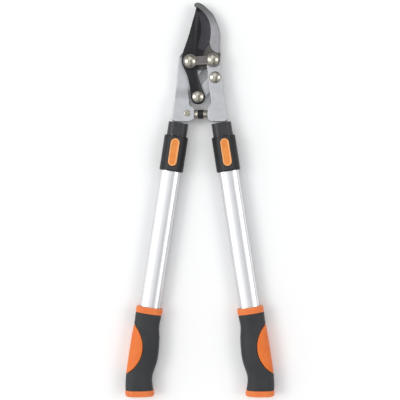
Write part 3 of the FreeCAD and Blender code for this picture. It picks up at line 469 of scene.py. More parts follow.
def finish_mesh(obj, sharp=35.0):
    """Merges doubles, turns the faces outwards and shades smoothly up to an angle."""
    merge = 1e-7
    shape = bmesh.new()
    shape.from_mesh(obj.data)
    bmesh.ops.remove_doubles(shape, verts=shape.verts, dist=merge)
    bmesh.ops.dissolve_degenerate(shape, edges=shape.edges, dist=merge)
    bmesh.ops.recalc_face_normals(shape, faces=shape.faces)
    if shape.calc_volume(signed=True) < 0:
        bmesh.ops.reverse_faces(shape, faces=shape.faces)
    shape.to_mesh(obj.data)
    shape.free()
    obj.data.shade_smooth()
    obj.data.set_sharp_from_angle(angle=math.radians(sharp))
    return obj


def settle(obj, body, slot, material, *nodes):
    """Gives a finished piece its material, its body and the nodes that it stands for."""
    obj.data.materials.clear()
    obj.data.materials.append(material)
    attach(obj, body)
    if nodes:
        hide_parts(*nodes)


def mesh_piece(shape, name):
    """A new object that holds a shape, which is used up."""
    mesh = bpy.data.meshes.new(name)
    shape.to_mesh(mesh)
    shape.free()
    return link(bpy.data.objects.new(name, mesh))


def skin(name, loops, around=False):
    """A closed mesh over a row of loops that all have the same number of points.

    Its ends are closed by faces, or the last loop is joined to the first.
    """
    shape = bmesh.new()
    rings = [[shape.verts.new(point) for point in loop] for loop in loops]
    pairs = list(zip(rings, rings[1:]))
    if around:
        pairs.append((rings[-1], rings[0]))
    for first, second in pairs:
        count = len(first)
        for step in range(count):
            after = (step + 1) % count
            shape.faces.new((first[step], first[after], second[after], second[step]))
    if not around:
        shape.faces.new(rings[0])
        shape.faces.new(rings[-1])
    return mesh_piece(shape, name)


def cad_copy(node, name):
    """A clean copy of a CAD node's mesh, with its flat faces made whole again."""
    shape = bmesh.new()
    shape.from_mesh(frame["nodes"][node].data)
    bmesh.ops.remove_doubles(shape, verts=shape.verts, dist=2e-6)
    bmesh.ops.dissolve_limit(
        shape,
        angle_limit=math.radians(0.5),
        verts=shape.verts,
        edges=shape.edges,
        use_dissolve_boundaries=False,
    )
    return mesh_piece(shape, name)


def eased(node, name, width, segments=3):
    """A CAD plate with its sharp edges rounded over."""
    obj = cad_copy(node, name)
    bevel = obj.modifiers.new("eased edges", "BEVEL")
    bevel.width = width
    bevel.segments = segments
    bevel.limit_method = "ANGLE"
    bevel.angle_limit = math.radians(40)
    bevel.use_clamp_overlap = True
    bevel.miter_outer = "MITER_ARC"
    return finish_mesh(flat_mesh(obj), sharp=30)


# The left arm's front face, and the ramp on it: its foot and top in mm up the tool, and
# how many mm it rises, counted as a least height near its foot. The flowing ramp ends
# further on than the straight one. Points within the face's skin stay where they are.
ARM_FACE = 18.5 * MM
FACE_SKIN = 0.3
RAMP_FOOT = 199.0
RAMP_TOP = 175.0
RAMP_RISE = 9.0
RAMP_LEAST = 0.4
RAMP_RUNOUT = 5


def ease_ramp(mesh):
    """Turns the straight slope between the left arm and its boss into a flowing one."""
    for vertex in mesh.vertices:
        y = vertex.co.y / MM
        above = (vertex.co.z - ARM_FACE) / MM
        slope = min(max((RAMP_FOOT - y) / (RAMP_FOOT - RAMP_TOP), 0.0), 1.0)
        if above > FACE_SKIN and slope > 0:
            straight = max(RAMP_RISE * slope, RAMP_LEAST)
            share = min(above / straight, 1.0)
            flowing = RAMP_RISE * (1 - rise_between(y, RAMP_TOP - RAMP_RUNOUT, RAMP_FOOT))
            vertex.co.z += (flowing - straight) * share * MM


def casting(node, name, voxel, passes):
    """A CAD arm with the soft corners of a casting, made by remeshing and relaxing."""
    obj = cad_copy(node, name)
    grain = obj.modifiers.new("cast skin", "REMESH")
    grain.mode = "VOXEL"
    grain.voxel_size = voxel
    relax = obj.modifiers.new("soft corners", "SMOOTH")
    relax.factor = 0.5
    relax.iterations = passes
    return finish_mesh(flat_mesh(obj), sharp=60)


# Turned parts -----------------------------------------------------------------------


def turning_tree():
    """A geometry tree that turns a profile about Z and sets one at each place."""
    group = bpy.data.node_groups.new("turned parts", "GeometryNodeTree")
    for name, kind in (
        ("Places", "NodeSocketGeometry"),
        ("Profile", "NodeSocketObject"),
        ("Steps round", "NodeSocketInt"),
        ("Lean", "NodeSocketVector"),
        ("Finish", "NodeSocketMaterial"),
    ):
        group.interface.new_socket(name, in_out="INPUT", socket_type=kind)
    group.interface.new_socket("Parts", in_out="OUTPUT", socket_type="NodeSocketGeometry")
    tree = Tree(group.nodes, group.links)
    entry = group.nodes.new("NodeGroupInput")

    def given(name):
        return Value(tree, entry.outputs[name])

    pattern = {"Object": given("Profile")}
    profile = tree.node("GeometryNodeObjectInfo", None, pattern, "Geometry")
    points = tree.node("GeometryNodeAttributeDomainSize", None, {"Geometry": profile})
    grid = tree.node(
        "GeometryNodeMeshGrid",
        None,
        {0: 1.0, 1: 1.0, 2: given("Steps round") + 1, 3: points},
    )
    position = tree.node("GeometryNodeInputPosition")
    x, y = tree.parts(position)[:2]
    angle = (x + 0.5) * math.tau
    row = ((y + 0.5) * (points - 1)).maths("ROUND")
    sample = tree.node(
        "GeometryNodeSampleIndex",
        {"data_type": "FLOAT_VECTOR", "domain": "POINT"},
        {0: profile, 1: position, 2: row},
    )
    radius, height = tree.parts(sample)[::2]
    place = tree.node(
        "ShaderNodeCombineXYZ",
        None,
        {0: radius * angle.maths("COSINE"), 1: radius * angle.maths("SINE"), 2: height},
    )
    turned = tree.node("GeometryNodeSetPosition", None, {0: grid, "Position": place})
    whole = tree.node("GeometryNodeMergeByDistance", None, {0: turned, "Distance": 1e-6})
    turn = tree.node("FunctionNodeEulerToRotation", None, {0: given("Lean")})
    set_out = tree.node(
        "GeometryNodeInstanceOnPoints",
        None,
        {"Points": given("Places"), "Instance": whole, "Rotation": turn},
    )
    real = tree.node("GeometryNodeRealizeInstances", None, {0: set_out})
    coated = tree.node("GeometryNodeSetMaterial", None, {0: real, "Material": given("Finish")})
    exit_node = group.nodes.new("NodeGroupOutput")
    group.links.new(coated.socket, exit_node.inputs[0])
    return group


def set_inputs(modifier, **values):
    """Sets a geometry tree's named inputs by their sockets' identifiers."""
    for item in modifier.node_group.interface.items_tree:
        key = item.name.replace(" ", "_")
        if item.in_out == "INPUT" and key in values:
            modifier[item.identifier] = values[key]


TURNING = turning_tree()


def turned(name, profile, places, material, lean=(0, 0, 0), steps=64):
    """Parts turned to a profile of (radius, height) points, one at each place."""
    outline = bpy.data.meshes.new(name + "_profile")
    outline.from_pydata([(r, 0, h) for r, h in profile], [], [])
    pattern = bpy.data.objects.new(name + "_profile", outline)
    mesh = bpy.data.meshes.new(name)
    mesh.from_pydata([tuple(place) for place in places], [], [])
    obj = link(bpy.data.objects.new(name, mesh))
    modifier = obj.modifiers.new("turned", "NODES")
    modifier.node_group = TURNING
    set_inputs(modifier, Profile=pattern, Steps_round=steps, Lean=lean, Finish=material)
    flat_mesh(obj)
    bpy.data.objects.remove(pattern)
    return finish_mesh(obj)


def bend(centre, radius, start, end, steps):
    """Points of a round corner in a profile, from one angle to another in degrees."""
    angles = [math.radians(start + (end - start) * k / steps) for k in range(steps + 1)]
    return [
        (centre[0] + radius * math.cos(angle), centre[1] + radius * math.sin(angle))
        for angle in angles
    ]


def rise_between(value, low, high):
    """0 below low, 1 above high, and a smooth rise between them."""
    share = min(max((value - low) / (high - low), 0.0), 1.0)
    return share * share * (3 - 2 * share)


def middle(node):
    """The middle of a node's box."""
    low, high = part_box(node)
    return (low + high) / 2


# The head -----------------------------------------------------------------------------

# Each bolt's body and the radius of its shank.
BOLTS = {
    "blade_pivot_bolt": ("frame", 5 * MM),
    "arm_pivot_bolt": ("frame", 5 * MM),
    "crank_bolt": ("right_arm_body", 5 * MM),
    "tail_bolt": ("blade_body", 4 * MM),
}
# The bolt heads: the dome's rise, the straight rim under it, and the rim's rounding.
DOME_RISE = 3.2 * MM
DOME_RIM = 1.6 * MM
DOME_EASE = 0.6 * MM


def domed_profile(node, shank):
    """A bolt's profile, from its foot to the crown of its domed head."""
    low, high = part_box(node)
    head = (high.x - low.x) / 2
    length = high.z - low.z
    seat = length - DOME_RISE - DOME_RIM
    ball = (head**2 + DOME_RISE**2) / (2 * DOME_RISE)
    steep = math.degrees(math.asin((head - DOME_EASE) / ball))
    crown = bend((0, length - ball), ball, 90 - steep, 90, 14)
    return [
        (0, 0),
        (shank - 0.4 * MM, 0),
        (shank, 0.4 * MM),
        (shank, seat),
        (head - 0.5 * MM, seat),
        (head - 0.1 * MM, seat + 0.15 * MM),
        (head, seat + 0.5 * MM),
        (head, seat + DOME_RIM - 0.5 * MM),
        (head - 0.12 * MM, seat + DOME_RIM - 0.1 * MM),
        *crown,
    ]


def make_bolts(material):
    for node, (body, shank) in BOLTS.items():
        place = (*middle(node).xy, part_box(node)[0].z)
        profile = domed_profile(node, shank)
        bolt = turned(node + "_turned", profile, [place], material)
        settle(bolt, body, "bright_nickel", material, node)


def lying(node):
    """The radius and the length of a round part that lies along X."""
    low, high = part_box(node)
    return (high.z - low.z) / 2, high.x - low.x


def turned_lying(name, profile, node, material, flip=1):
    """A turned part along X, which starts at a node's left end, or at its right end."""
    low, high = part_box(node)
    start = (low.x if flip > 0 else high.x, *middle(node).yz)
    return turned(name, profile, [start], material, (0, flip * math.pi / 2, 0))


def make_bumper_cup(node, body, flip, material):
    """One pressed cup of the stop, with a rolled rim. It opens towards the rubber."""
    radius, deep = lying(node)
    wall = 1.1 * MM
    rim = 0.6 * MM
    corner = 1.2 * MM
    profile = [
        (0, 0),
        (radius - 2.2 * MM, 0),
        *bend((radius - 2.0 * MM, corner), corner, -90, -20, 4),
        (radius - 0.9 * MM, deep * 0.45),
        (radius - 0.5 * MM, deep * 0.62),
        *bend((radius - rim, deep - rim), rim, 0, 180, 6),
        (radius - rim - wall, deep * 0.55),
        (radius - 1.0 * MM - wall, wall),
        (0, wall),
    ]
    cup = turned_lying(node + "_pressed", profile, node, material, flip)
    settle(cup, body, "bright_nickel", material, node)


def make_bumper_rubber(material):
    """The stop's rubber: a plain core with three round ribs round its middle."""
    radius, long = lying("bumper_rubber")
    core = radius - 1.9 * MM
    groove = radius - 0.9 * MM
    shoulder = radius - 0.1 * MM
    count = 3
    start = long * 0.30
    pitch = long * 0.44 / count
    ribs = []
    for rib in range(count):
        base = start + rib * pitch
        ribs += [
            (groove, base),
            (shoulder, base + pitch * 0.28),
            (radius, base + pitch * 0.5),
            (shoulder, base + pitch * 0.72),
        ]
    profile = [
        (0, 0),
        (core, 0),
        (core, long * 0.27),
        *ribs,
        (groove, start + count * pitch),
        (core, long * 0.77),
        (core, long),
        (0, long),
    ]
    rubber = turned_lying("bumper_rubber_moulded", profile, "bumper_rubber", material)
    settle(rubber, "frame", "stop_rubber", material, "bumper_rubber")


def make_bumper_strike(material):
    """The button on the right arm that meets the stop."""
    radius, deep = lying("bumper_strike")
    ease = 0.3 * MM
    profile = [(0, 0), (radius - ease, 0), (radius, ease), (radius, deep), (0, deep)]
    strike = turned_lying("bumper_strike_button", profile, "bumper_strike", material)
    settle(strike, "right_arm_body", "grey_steel", material, "bumper_strike")


def make_bumper(materials):
    """The stop between the arms: a waisted rubber in two pressed cups, and its button."""
    make_bumper_cup("bumper_left_cup", "frame", 1, materials["nickel"])
    make_bumper_cup("bumper_right_cup", "frame", -1, materials["nickel"])
    make_bumper_rubber(materials["rubber"])
    make_bumper_strike(materials["plate"])


# Half the cross recess's arm width and its reach, as shares of the screw head's radius:
# where the recess is at its full depth, and where it has run out.
CROSS_WIDTH = (0.10, 0.15)
CROSS_REACH = (0.55, 0.62)


def make_boss_screw(material):
    """A pan-headed screw with a cross recess."""
    low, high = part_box("boss_screw")
    centre = middle("boss_screw")
    head = (high.x - low.x) / 2
    rise = 1.6 * MM
    turn = 0.35
    recess = 0.75
    steps = 120
    # Radius and height of the head's outline, as shares of its radius and its rise.
    profile = [
        (0.44, -1.0),
        (0.44, 0.02),
        (0.97, 0.04),
        (1.0, 0.2),
        (1.0, 0.45),
        (0.97, 0.66),
        (0.90, 0.83),
        (0.80, 0.93),
    ]
    crown_start = 0.76
    crown_rows = 19
    profile += [
        (crown_start - 0.04 * row, 1.0 - 0.0035 * (crown_rows - row)) for row in range(crown_rows)
    ]
    loops = []
    for share, height in profile:
        loop = []
        for step in range(steps):
            angle = math.tau * step / steps + turn
            x = share * math.cos(angle)
            y = share * math.sin(angle)
            arm = min(abs(x), abs(y))
            slot = (1 - rise_between(arm, *CROSS_WIDTH)) * (1 - rise_between(share, *CROSS_REACH))
            drop = recess * slot if share <= crown_start else 0
            level = height - drop
            place = (centre.x + head * x, centre.y + head * y, high.z - rise * (1 - level))
            loop.append(place)
        loops.append(loop)
    screw = finish_mesh(skin("boss_screw_head", loops), sharp=40)
    settle(screw, "frame", "bright_nickel", material, "boss_screw")


def make_plates(materials):
    """The flat steel parts of the head, with their edges eased."""
    strap = eased("front_strap", "front_strap_pressed", 0.35 * MM)
    settle(strap, "frame", "grey_steel", materials["strap"], "front_strap")
    hook = eased("hook", "hook_forged", 0.8 * MM)
    settle(hook, "frame", "ground_steel", materials["hook"], "hook")
    blade = eased("blade", "blade_ground", 0.22 * MM, 2)
    settle(blade, "blade_body", "coated_blade", materials["coating"], "blade")
    blade.data.materials.append(materials["bevel"])
    bevel_start = middle("blade_pivot_bolt").y
    for face in blade.data.polygons:
        tilted = 0.90 < face.normal.z < 0.9985
        if tilted and face.center.y > bevel_start and face.area > 2e-7:
            face.material_index = 1
    link_plate = eased("drive_link", "drive_link_cast", 0.5 * MM)
    settle(link_plate, "link_body", "cast_alloy", materials["cast"], "drive_link")
    for node, body in (
        ("blade_pivot_nut", "frame"),
        ("arm_pivot_nut", "frame"),
        ("crank_nut", "right_arm_body"),
        ("tail_nut", "blade_body"),
    ):
        nut = eased(node, node + "_eased", 0.5 * MM)
        settle(nut, body, "grey_steel", materials["plate"], node)


def make_arms(materials):
    """The two cast arms. The left one has a ramp up to its boss on its front."""
    for node, body in (("left_arm", "frame"), ("right_arm", "right_arm_body")):
        arm = casting(node, node + "_cast", 0.62 * MM, 12)
        if node == "left_arm":
            ease_ramp(arm.data)
        settle(arm, body, "cast_alloy", materials["cast"], node)


# The handles ----------------------------------------------------------------------------


class Handle:
    """One handle's frame: down its tube, out to the side away from the other, and up."""

    def __init__(self, name):
        self.name = name
        self.body = name + "_handle"
        self.down = Vector(JOINTS[name + "_extend"]["axis"]).normalized()
        pivot = Vector(JOINTS[name + "_lock_press"]["pos_m"])
        self.origin = Vector((pivot.x, pivot.y, middle(name + "_inner_tube").z))
        across = UP.cross(self.down)
        self.out = across if across.x * self.down.x > 0 else -across

    def at(self, along, out=0.0, up=0.0):
        return self.origin + self.down * along + self.out * out + UP * up

    def span(self, node, axis=None):
        """How far a node reaches along the handle, or along another direction."""
        axis = axis or self.down
        mesh = frame["nodes"][node].data
        reach = [(vertex.co - self.origin).dot(axis) for vertex in mesh.vertices]
        return min(reach), max(reach)


# The grip's form down its length: distance below its mouth, how far it reaches outwards
# and inwards from the tube's axis, and its half depth, all in mm.
GRIP_FORM = (
    (0.0, 23.0, 22.5, 16.3),
    (12.0, 23.4, 22.0, 16.4),
    (32.0, 22.8, 21.3, 16.4),
    (52.0, 23.5, 24.8, 17.2),
    (78.0, 23.7, 27.0, 17.8),
    (95.0, 23.6, 26.4, 17.6),
    (118.0, 23.5, 22.6, 16.8),
    (132.0, 22.8, 24.6, 17.2),
    (149.0, 20.4, 30.0, 17.8),
    (176.0, 15.0, 34.0, 17.8),
)
GRIP_SQUARENESS = 2.5
# The side pad's outline is part of an oval that is centred outside the grip.
PAD_CENTRE = 76.5
PAD_OFFSET = 59.0
PAD_ALONG = 55.4
PAD_ACROSS = 58.3


def between(table, place):
    """The smooth values of a table's columns at a place in its first column."""
    last = len(table) - 1
    index = 0
    while index < last - 1 and table[index + 1][0] < place:
        index += 1
    before = table[max(index - 1, 0)]
    start = table[index]
    end = table[index + 1]
    after = table[min(index + 2, last)]
    width = end[0] - start[0]
    t = (place - start[0]) / width
    values = []
    for column in range(1, len(start)):
        slope_in = (end[column] - before[column]) / (end[0] - before[0]) * width
        slope_out = (after[column] - start[column]) / (after[0] - start[0]) * width
        values.append(
            (2 * t**3 - 3 * t**2 + 1) * start[column]
            + (t**3 - 2 * t**2 + t) * slope_in
            + (3 * t**2 - 2 * t**3) * end[column]
            + (t**3 - t**2) * slope_out
        )
    return values


class Grip:
    """The moulded grip's outer form, in mm below its mouth, across and up."""

    def __init__(self, handle):
        self.handle = handle
        name = handle.name
        self.mouth = handle.span(name + "_grip_ring")[0]
        self.ring_end = (handle.span(name + "_grip_ring")[1] - self.mouth) / MM
        self.pad_start, self.pad_end = (
            (reach - self.mouth) / MM for reach in handle.span(name + "_grip_pad")
        )
        self.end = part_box(name + "_grip_cap")[0].y
        self.cap_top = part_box(name + "_grip_cap")[1].y

    def across(self, along, angle, offset=0.0):
        """(out, up) of a point of the form, moved out of the surface by an offset."""
        outward, inward, deep = between(GRIP_FORM, along)
        c = math.cos(angle)
        s = math.sin(angle)
        power = 2 / GRIP_SQUARENESS
        reach = outward if c > 0 else inward
        x = reach * math.copysign(abs(c) ** power, c)
        z = deep * math.copysign(abs(s) ** power, s)
        slope_x = math.copysign(abs(x / reach) ** (GRIP_SQUARENESS - 1) / reach, x)
        slope_z = math.copysign(abs(z / deep) ** (GRIP_SQUARENESS - 1) / deep, z)
        length = math.hypot(slope_x, slope_z)
        return x + offset * slope_x / length, z + offset * slope_z / length

    def point(self, along, angle, offset=0.0):
        out, up = self.across(along, angle, offset)
        return self.handle.at(self.mouth + along * MM, out * MM, up * MM)

    def along_at(self, y, angle, offset=0.0):
        """How far below the mouth a ruling reaches a plane square to +Y."""
        handle = self.handle
        along = 150.0  # a first guess, near the grip's end
        for _ in range(12):
            out, up = self.across(along, angle, offset)
            base = handle.at(self.mouth, out * MM, up * MM)
            along = (y - base.y) / handle.down.y / MM
        return along

    def pad_distance(self, along, out):
        """Roughly how many mm a point is outside the side pad's oval outline."""
        far = (along - PAD_CENTRE) / PAD_ALONG
        side = (out - PAD_OFFSET) / PAD_ACROSS
        reach = max(math.hypot(far, side), 1e-6)
        steep = math.hypot(far / PAD_ALONG, side / PAD_ACROSS) / reach
        return (reach - 1) / max(steep, 1e-6)


def grip_angles(count):
    """Angles round a section, evenly spread along its outline."""
    return [math.tau * (step + 0.5) / count for step in range(count)]


# The pad's bed in the grip: how deep it is, and the lip round it, all in mm. The lip's
# crest is a little outside the pad's outline.
BED_DEPTH = 2.3
BED_EDGE = (-0.4, 1.1)
LIP_HEIGHT = 0.45
LIP_PLACE = 2.1
LIP_WIDTH = 0.9


def make_grip(handle, materials):
    """The charcoal body of the grip, with a groove and lip round the side pad."""
    grip = Grip(handle)
    angles = grip_angles(200)
    rows = 230
    gap = 0.15
    start = grip.ring_end + gap
    ends = [grip.along_at(grip.cap_top + gap * MM, angle) for angle in angles]

    def loop(share, offset):
        points = []
        for angle, end in zip(angles, ends):
            along = start + (end - start) * share
            distance = grip.pad_distance(along, grip.across(along, angle)[0])
            sunk = -BED_DEPTH * (1 - rise_between(distance, *BED_EDGE))
            lip = LIP_HEIGHT * math.exp(-(((distance - LIP_PLACE) / LIP_WIDTH) ** 2))
            points.append(grip.point(along, angle, offset + sunk + lip))
        return points

    def end_face(share):
        """A loop inside the flat end face, half way to its middle."""
        centre = centre_of(loop(share, 0))
        return [point.lerp(centre, 0.5) for point in loop(share, -1)]

    loops = [end_face(0)]
    for share, offset in ((0.0, -1.3), (0.0, -0.75), (0.0012, -0.35), (0.0035, -0.08)):
        loops.append(loop(share, offset))
    for row in range(rows + 1):
        loops.append(loop(0.007 + 0.986 * row / rows, 0))
    for share, offset in ((0.9965, -0.08), (0.9988, -0.35), (1.0, -0.75), (1.0, -1.3)):
        loops.append(loop(share, offset))
    loops.append(end_face(1))
    body = finish_mesh(skin(handle.name + "_grip_moulded", loops), sharp=50)
    settle(body, handle.body, "grip_charcoal", materials["grip"], handle.name + "_grip")
    make_pad(grip, materials)
    make_ring(grip, materials)
    make_cap(grip, materials)


def centre_of(points):
    return sum(points, Vector()) / len(points)


def make_pad(grip, materials):
    """The orange pad let into the outer side, with a rolled edge."""
    handle = grip.handle
    rows = 110
    columns = 84
    inset = 0.5
    proud = 0.45
    roll = 1.3
    roll_width = 1.6
    underside = -1.9
    loops = []
    length = grip.pad_end - grip.pad_start
    for row in range(1, rows):
        along = grip.pad_start + length * (1 - math.cos(math.pi * row / rows)) / 2
        far = (along - PAD_CENTRE) / (PAD_ALONG - inset)
        edge = PAD_OFFSET - (PAD_ACROSS - inset) * math.sqrt(max(1 - far * far, 0))
        share = edge / between(GRIP_FORM, along)[0]
        if share > 0.995:
            continue
        widest = math.acos(max(share, 0.0) ** (GRIP_SQUARENESS / 2))
        top = []
        bottom = []
        for column in range(columns + 1):
            angle = widest * math.sin(math.pi * (column / columns - 0.5))
            out = grip.across(along, angle)[0]
            inside = -grip.pad_distance(along, out) - inset
            depth = min(max(inside / roll_width, 0.0), 1.0)
            rolled = proud - roll * (1 - math.sqrt(1 - (1 - depth) ** 2))
            top.append(grip.point(along, angle, rolled))
            bottom.append(grip.point(along, angle, underside))
        loops.append(top + bottom[::-1])
    pad = finish_mesh(skin(handle.name + "_grip_pad_moulded", loops), sharp=50)
    settle(pad, handle.body, "grip_orange", materials["pad"], handle.name + "_grip_pad")


def oval(handle, along, wide, deep, squareness, steps=96):
    """A loop round the handle's axis: a soft oval, measured in mm."""
    loop = []
    power = 2 / squareness
    for step in range(steps):
        angle = math.tau * step / steps
        c = math.cos(angle)
        s = math.sin(angle)
        out = wide * math.copysign(abs(c) ** power, c)
        up = deep * math.copysign(abs(s) ** power, s)
        loop.append(handle.at(along, out * MM, up * MM))
    return loop


# The outer tube's wall and the rounding of its ends, in mm, and how square its outside
# and its inside are.
TUBE_WALL = 1.1
TUBE_EASE = 0.3
TUBE_OUTSIDE = 2.4
TUBE_INSIDE = 2.6


def make_outer_tube(handle, material):
    """The outer tube, whose wide faces are very slightly crowned."""
    node = handle.name + "_outer_tube"
    start, end = handle.span(node)
    wide = handle.span(node, handle.out)[1] / MM
    deep = handle.span(node, UP)[1] / MM

    def outline(along, inset, squareness):
        return oval(handle, along, wide - inset, deep - inset, squareness)

    loops = [
        outline(start + TUBE_EASE * MM, 0, TUBE_OUTSIDE),
        outline(end - TUBE_EASE * MM, 0, TUBE_OUTSIDE),
        outline(end, TUBE_EASE, TUBE_OUTSIDE),
        outline(end, TUBE_WALL, TUBE_INSIDE),
        outline(start, TUBE_WALL, TUBE_INSIDE),
        outline(start, TUBE_EASE, TUBE_OUTSIDE),
    ]
    tube = finish_mesh(skin(node + "_drawn", loops, around=True), sharp=40)
    settle(tube, handle.body, "tube_alloy", material, node)


def make_ring(grip, materials):
    """The orange ring at the grip's mouth, open for the tube."""
    handle = grip.handle
    angles = grip_angles(144)
    bore = tube_outline(handle, angles, 0.08)
    # Distance below the mouth, offset from the grip's form, and growth of the tube's bore
    # where there is no offset, all in mm.
    profile = (
        (0.9, None, 0.0),
        (0.35, None, 0.5),
        (0.1, -3.2, 0),
        (0.0, -1.6, 0),
        (0.25, -0.55, 0),
        (0.9, 0.1, 0),
        (2.0, 0.45, 0),
        (6.0, 0.55, 0),
        (9.6, 0.4, 0),
        (10.8, 0.1, 0),
        (11.3, -0.5, 0),
        (11.45, -1.4, 0),
        (11.45, None, 0.0),
    )
    loops = []
    for along, offset, grow in profile:
        if offset is None:
            loop = [
                handle.at(grip.mouth + along * MM, (x + math.copysign(grow, x)) * MM, z * MM)
                for x, z in bore
            ]
        else:
            loop = [grip.point(along, angle, offset) for angle in angles]
        loops.append(loop)
    ring = skin(handle.name + "_grip_ring_moulded", loops, around=True)
    finish_mesh(ring, sharp=50)
    settle(ring, handle.body, "grip_orange", materials["orange"], handle.name + "_grip_ring")


def tube_outline(handle, angles, gap):
    """The outer tube's flat-sided oval at each angle, grown by a gap, in mm."""
    low, high = handle.span(handle.name + "_outer_tube", UP)
    deep = (high - low) / 2 / MM + gap
    low, high = handle.span(handle.name + "_outer_tube", handle.out)
    flat = (high - low) / 2 / MM + gap - deep
    points = []
    for angle in angles:
        c = math.cos(angle)
        s = math.sin(angle)
        if abs(c) * deep > abs(s) * flat:
            side = math.copysign(flat, c)
            b = -c * side
            reach = -b + math.sqrt(max(b * b - flat * flat + deep * deep, 0))
        else:
            reach = deep / abs(s)
        points.append((reach * c, reach * s))
    return points


def make_cap(grip, materials):
    """The orange end cap, cut square to the tool's length."""
    handle = grip.handle
    angles = grip_angles(144)
    # Height above the tool's end and offset from the grip's form, in mm.
    profile = (
        (0.9, -9.0),
        (0.35, -6.5),
        (0.0, -5.0),
        (0.0, -3.2),
        (0.35, -1.7),
        (1.2, -0.5),
        (2.6, 0.35),
        (4.5, 0.6),
        (8.6, 0.6),
        (10.0, 0.4),
        (10.7, -0.1),
        (10.85, -1.0),
    )
    loops = []
    for height, offset in profile:
        y = grip.end + height * MM
        loops.append([grip.point(grip.along_at(y, angle, offset), angle, offset) for angle in angles])
    centre = centre_of(loops[0])
    loops.insert(0, [centre.lerp(point, 0.25) for point in loops[0]])
    centre = centre_of(loops[-1])
    loops.append([centre.lerp(point, 0.5) for point in loops[-1]])
    cap = finish_mesh(skin(handle.name + "_grip_cap_moulded", loops), sharp=50)
    settle(cap, handle.body, "grip_orange", materials["orange"], handle.name + "_grip_cap")


def make_lever(handle, materials):
    """The round-ended lock lever: a dished top inside a raised rim."""
    node = handle.name + "_lock_lever"
    start, end = handle.span(node)
    low, high = handle.span(node, handle.out)
    top = handle.span(node, UP)[1]
    centre = (start + end) / 2
    half_wide = (high - low) / 2
    half_long = (end - start) / 2
    # Inset from the outline and height above the top, in mm.
    profile = (
        (1.6, -3.8),
        (0.3, -3.8),
        (0.0, -3.4),
        (0.0, -1.3),
        (0.25, -0.55),
        (0.8, -0.12),
        (1.5, 0.0),
        (2.2, -0.12),
        (2.7, -0.55),
        (3.1, -0.85),
        (3.8, -1.0),
        (5.2, -0.95),
        (6.6, -0.85),
    )
    loops = []
    for inset, height in profile:
        size = (half_long - inset * MM, half_wide - inset * MM)
        loops.append(stadium(handle, centre, *size, top + height * MM))
    make_lever_seat(handle, materials["seat"], centre, half_long, half_wide)
    lever = finish_mesh(skin(node + "_moulded", loops), sharp=50)
    settle(lever, handle.name + "_lock", "orange_plastic", materials["lever"], node)
    make_lever_tooth(handle, materials["lever"], handle.span(node, UP)[0], top)
    make_lever_spring(handle, materials["plate"])


def make_lever_tooth(handle, material, foot, top):
    """The tooth under the lever's upper end, with an eased tip."""
    offset = -17 * MM
    radius = 3.0 * MM
    # The tooth reaches up into the lever, to this far under its top.
    root = top - 3.0 * MM - foot
    profile = [
        (0, 0),
        (2.2 * MM, 0),
        (2.7 * MM, 0.25 * MM),
        (radius, 0.8 * MM),
        (radius, root),
        (0, root),
    ]
    place = handle.at(offset, 0, foot)
    tooth = turned(handle.name + "_lever_tooth", profile, [place], material, steps=32)
    settle(tooth, handle.name + "_lock", "orange_plastic", material)


def make_lever_spring(handle, material):
    """The flat coil under the lever's lower end, built at rest; the pressed lever squeezes it on the
    tool itself, not here.
    """
    node = handle.name + "_lever_spring"
    foot, top = handle.span(node, UP)
    start, end = handle.span(node)
    centre = (start + end) / 2
    wire = 0.24 * MM
    coil_radius = (end - start) / 2 - wire
    turns = 2.5
    steps = 90
    sides = 10
    loops = []
    for step in range(steps + 1):
        turn = math.tau * turns * step / steps
        lift = foot + wire + (top - foot - 2 * wire) * step / steps
        loop = []
        for side in range(sides):
            angle = math.tau * side / sides
            reach = coil_radius + wire * math.cos(angle)
            along = centre + reach * math.cos(turn)
            loop.append(handle.at(along, reach * math.sin(turn), lift + wire * math.sin(angle)))
        loops.append(loop)
    spring = finish_mesh(skin(handle.name + "_lever_coil", loops), sharp=50)
    settle(spring, handle.body, "grey_steel", material, node)
    anchor = handle.at(centre, 0, foot)
    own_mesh(spring)


def stadium(handle, centre, half_long, half_wide, up, steps=28):
    """A round-ended loop in the handle's front, level at a height."""
    straight = half_long - half_wide
    loop = []
    for side in (1, -1):
        for step in range(steps + 1):
            angle = math.pi * step / steps
            out = half_wide * math.cos(angle) * side
            along = (straight + half_wide * math.sin(angle)) * side
            loop.append(handle.at(centre + along, out, up))
    return loop


def make_lever_seat(handle, material, centre, half_long, half_wide):
    """A lip on the tube that seals the gap round the lever; its dark brown is painted shade for the
    recess round the lever.
    """
    floor = handle.span(handle.name + "_outer_tube", UP)[1]
    # Growth past the lever's outline and height above the tube, in mm. Under the lever the
    # lip is low enough for the pressed lever to clear it.
    profile = (
        (0.85, 0.05),
        (0.85, 0.9),
        (0.65, 1.1),
        (0.4, 0.9),
        (0.1, 0.6),
        (-1.4, 0.5),
        (-1.4, 0.05),
    )
    loops = []
    for grow, lift in profile:
        size = (half_long + grow * MM, half_wide + grow * MM)
        loops.append(stadium(handle, centre, *size, floor + lift * MM))
    lip = finish_mesh(skin(handle.name + "_lever_seat", loops, around=True), sharp=40)
    settle(lip, handle.body, "black_nylon", material)


def coat_nodes(materials):
    """Gives every CAD node that stays in view its finish."""
    table = {
        "tube": "_inner_tube",
        "nylon": "_ferrule _lock_collar _glide_plug",
        "plate": "_tang_rivets _collar_rivets",
        "coating": "_lever_pin",
    }
    for key, endings in table.items():
        for ending in endings.split():
            for name in ("left", "right"):
                material = materials[f"{name}_tube" if key == "tube" else key]
                coat(name + ending, material)
    for node in ("blade_bush", "arm_bush", "link_bush"):
        coat(node, materials["bronze"])
    for node in ("hook_rivets", "tail_back_washer", "blade_washer"):
        coat(node, materials["plate"])
    coat("tail_washer", materials["nickel"])


def coat(node, material):
    obj = frame["nodes"][node]
    obj.data.materials.clear()
    obj.data.materials.append(material)


# The studio -------------------------------------------------------------------------------


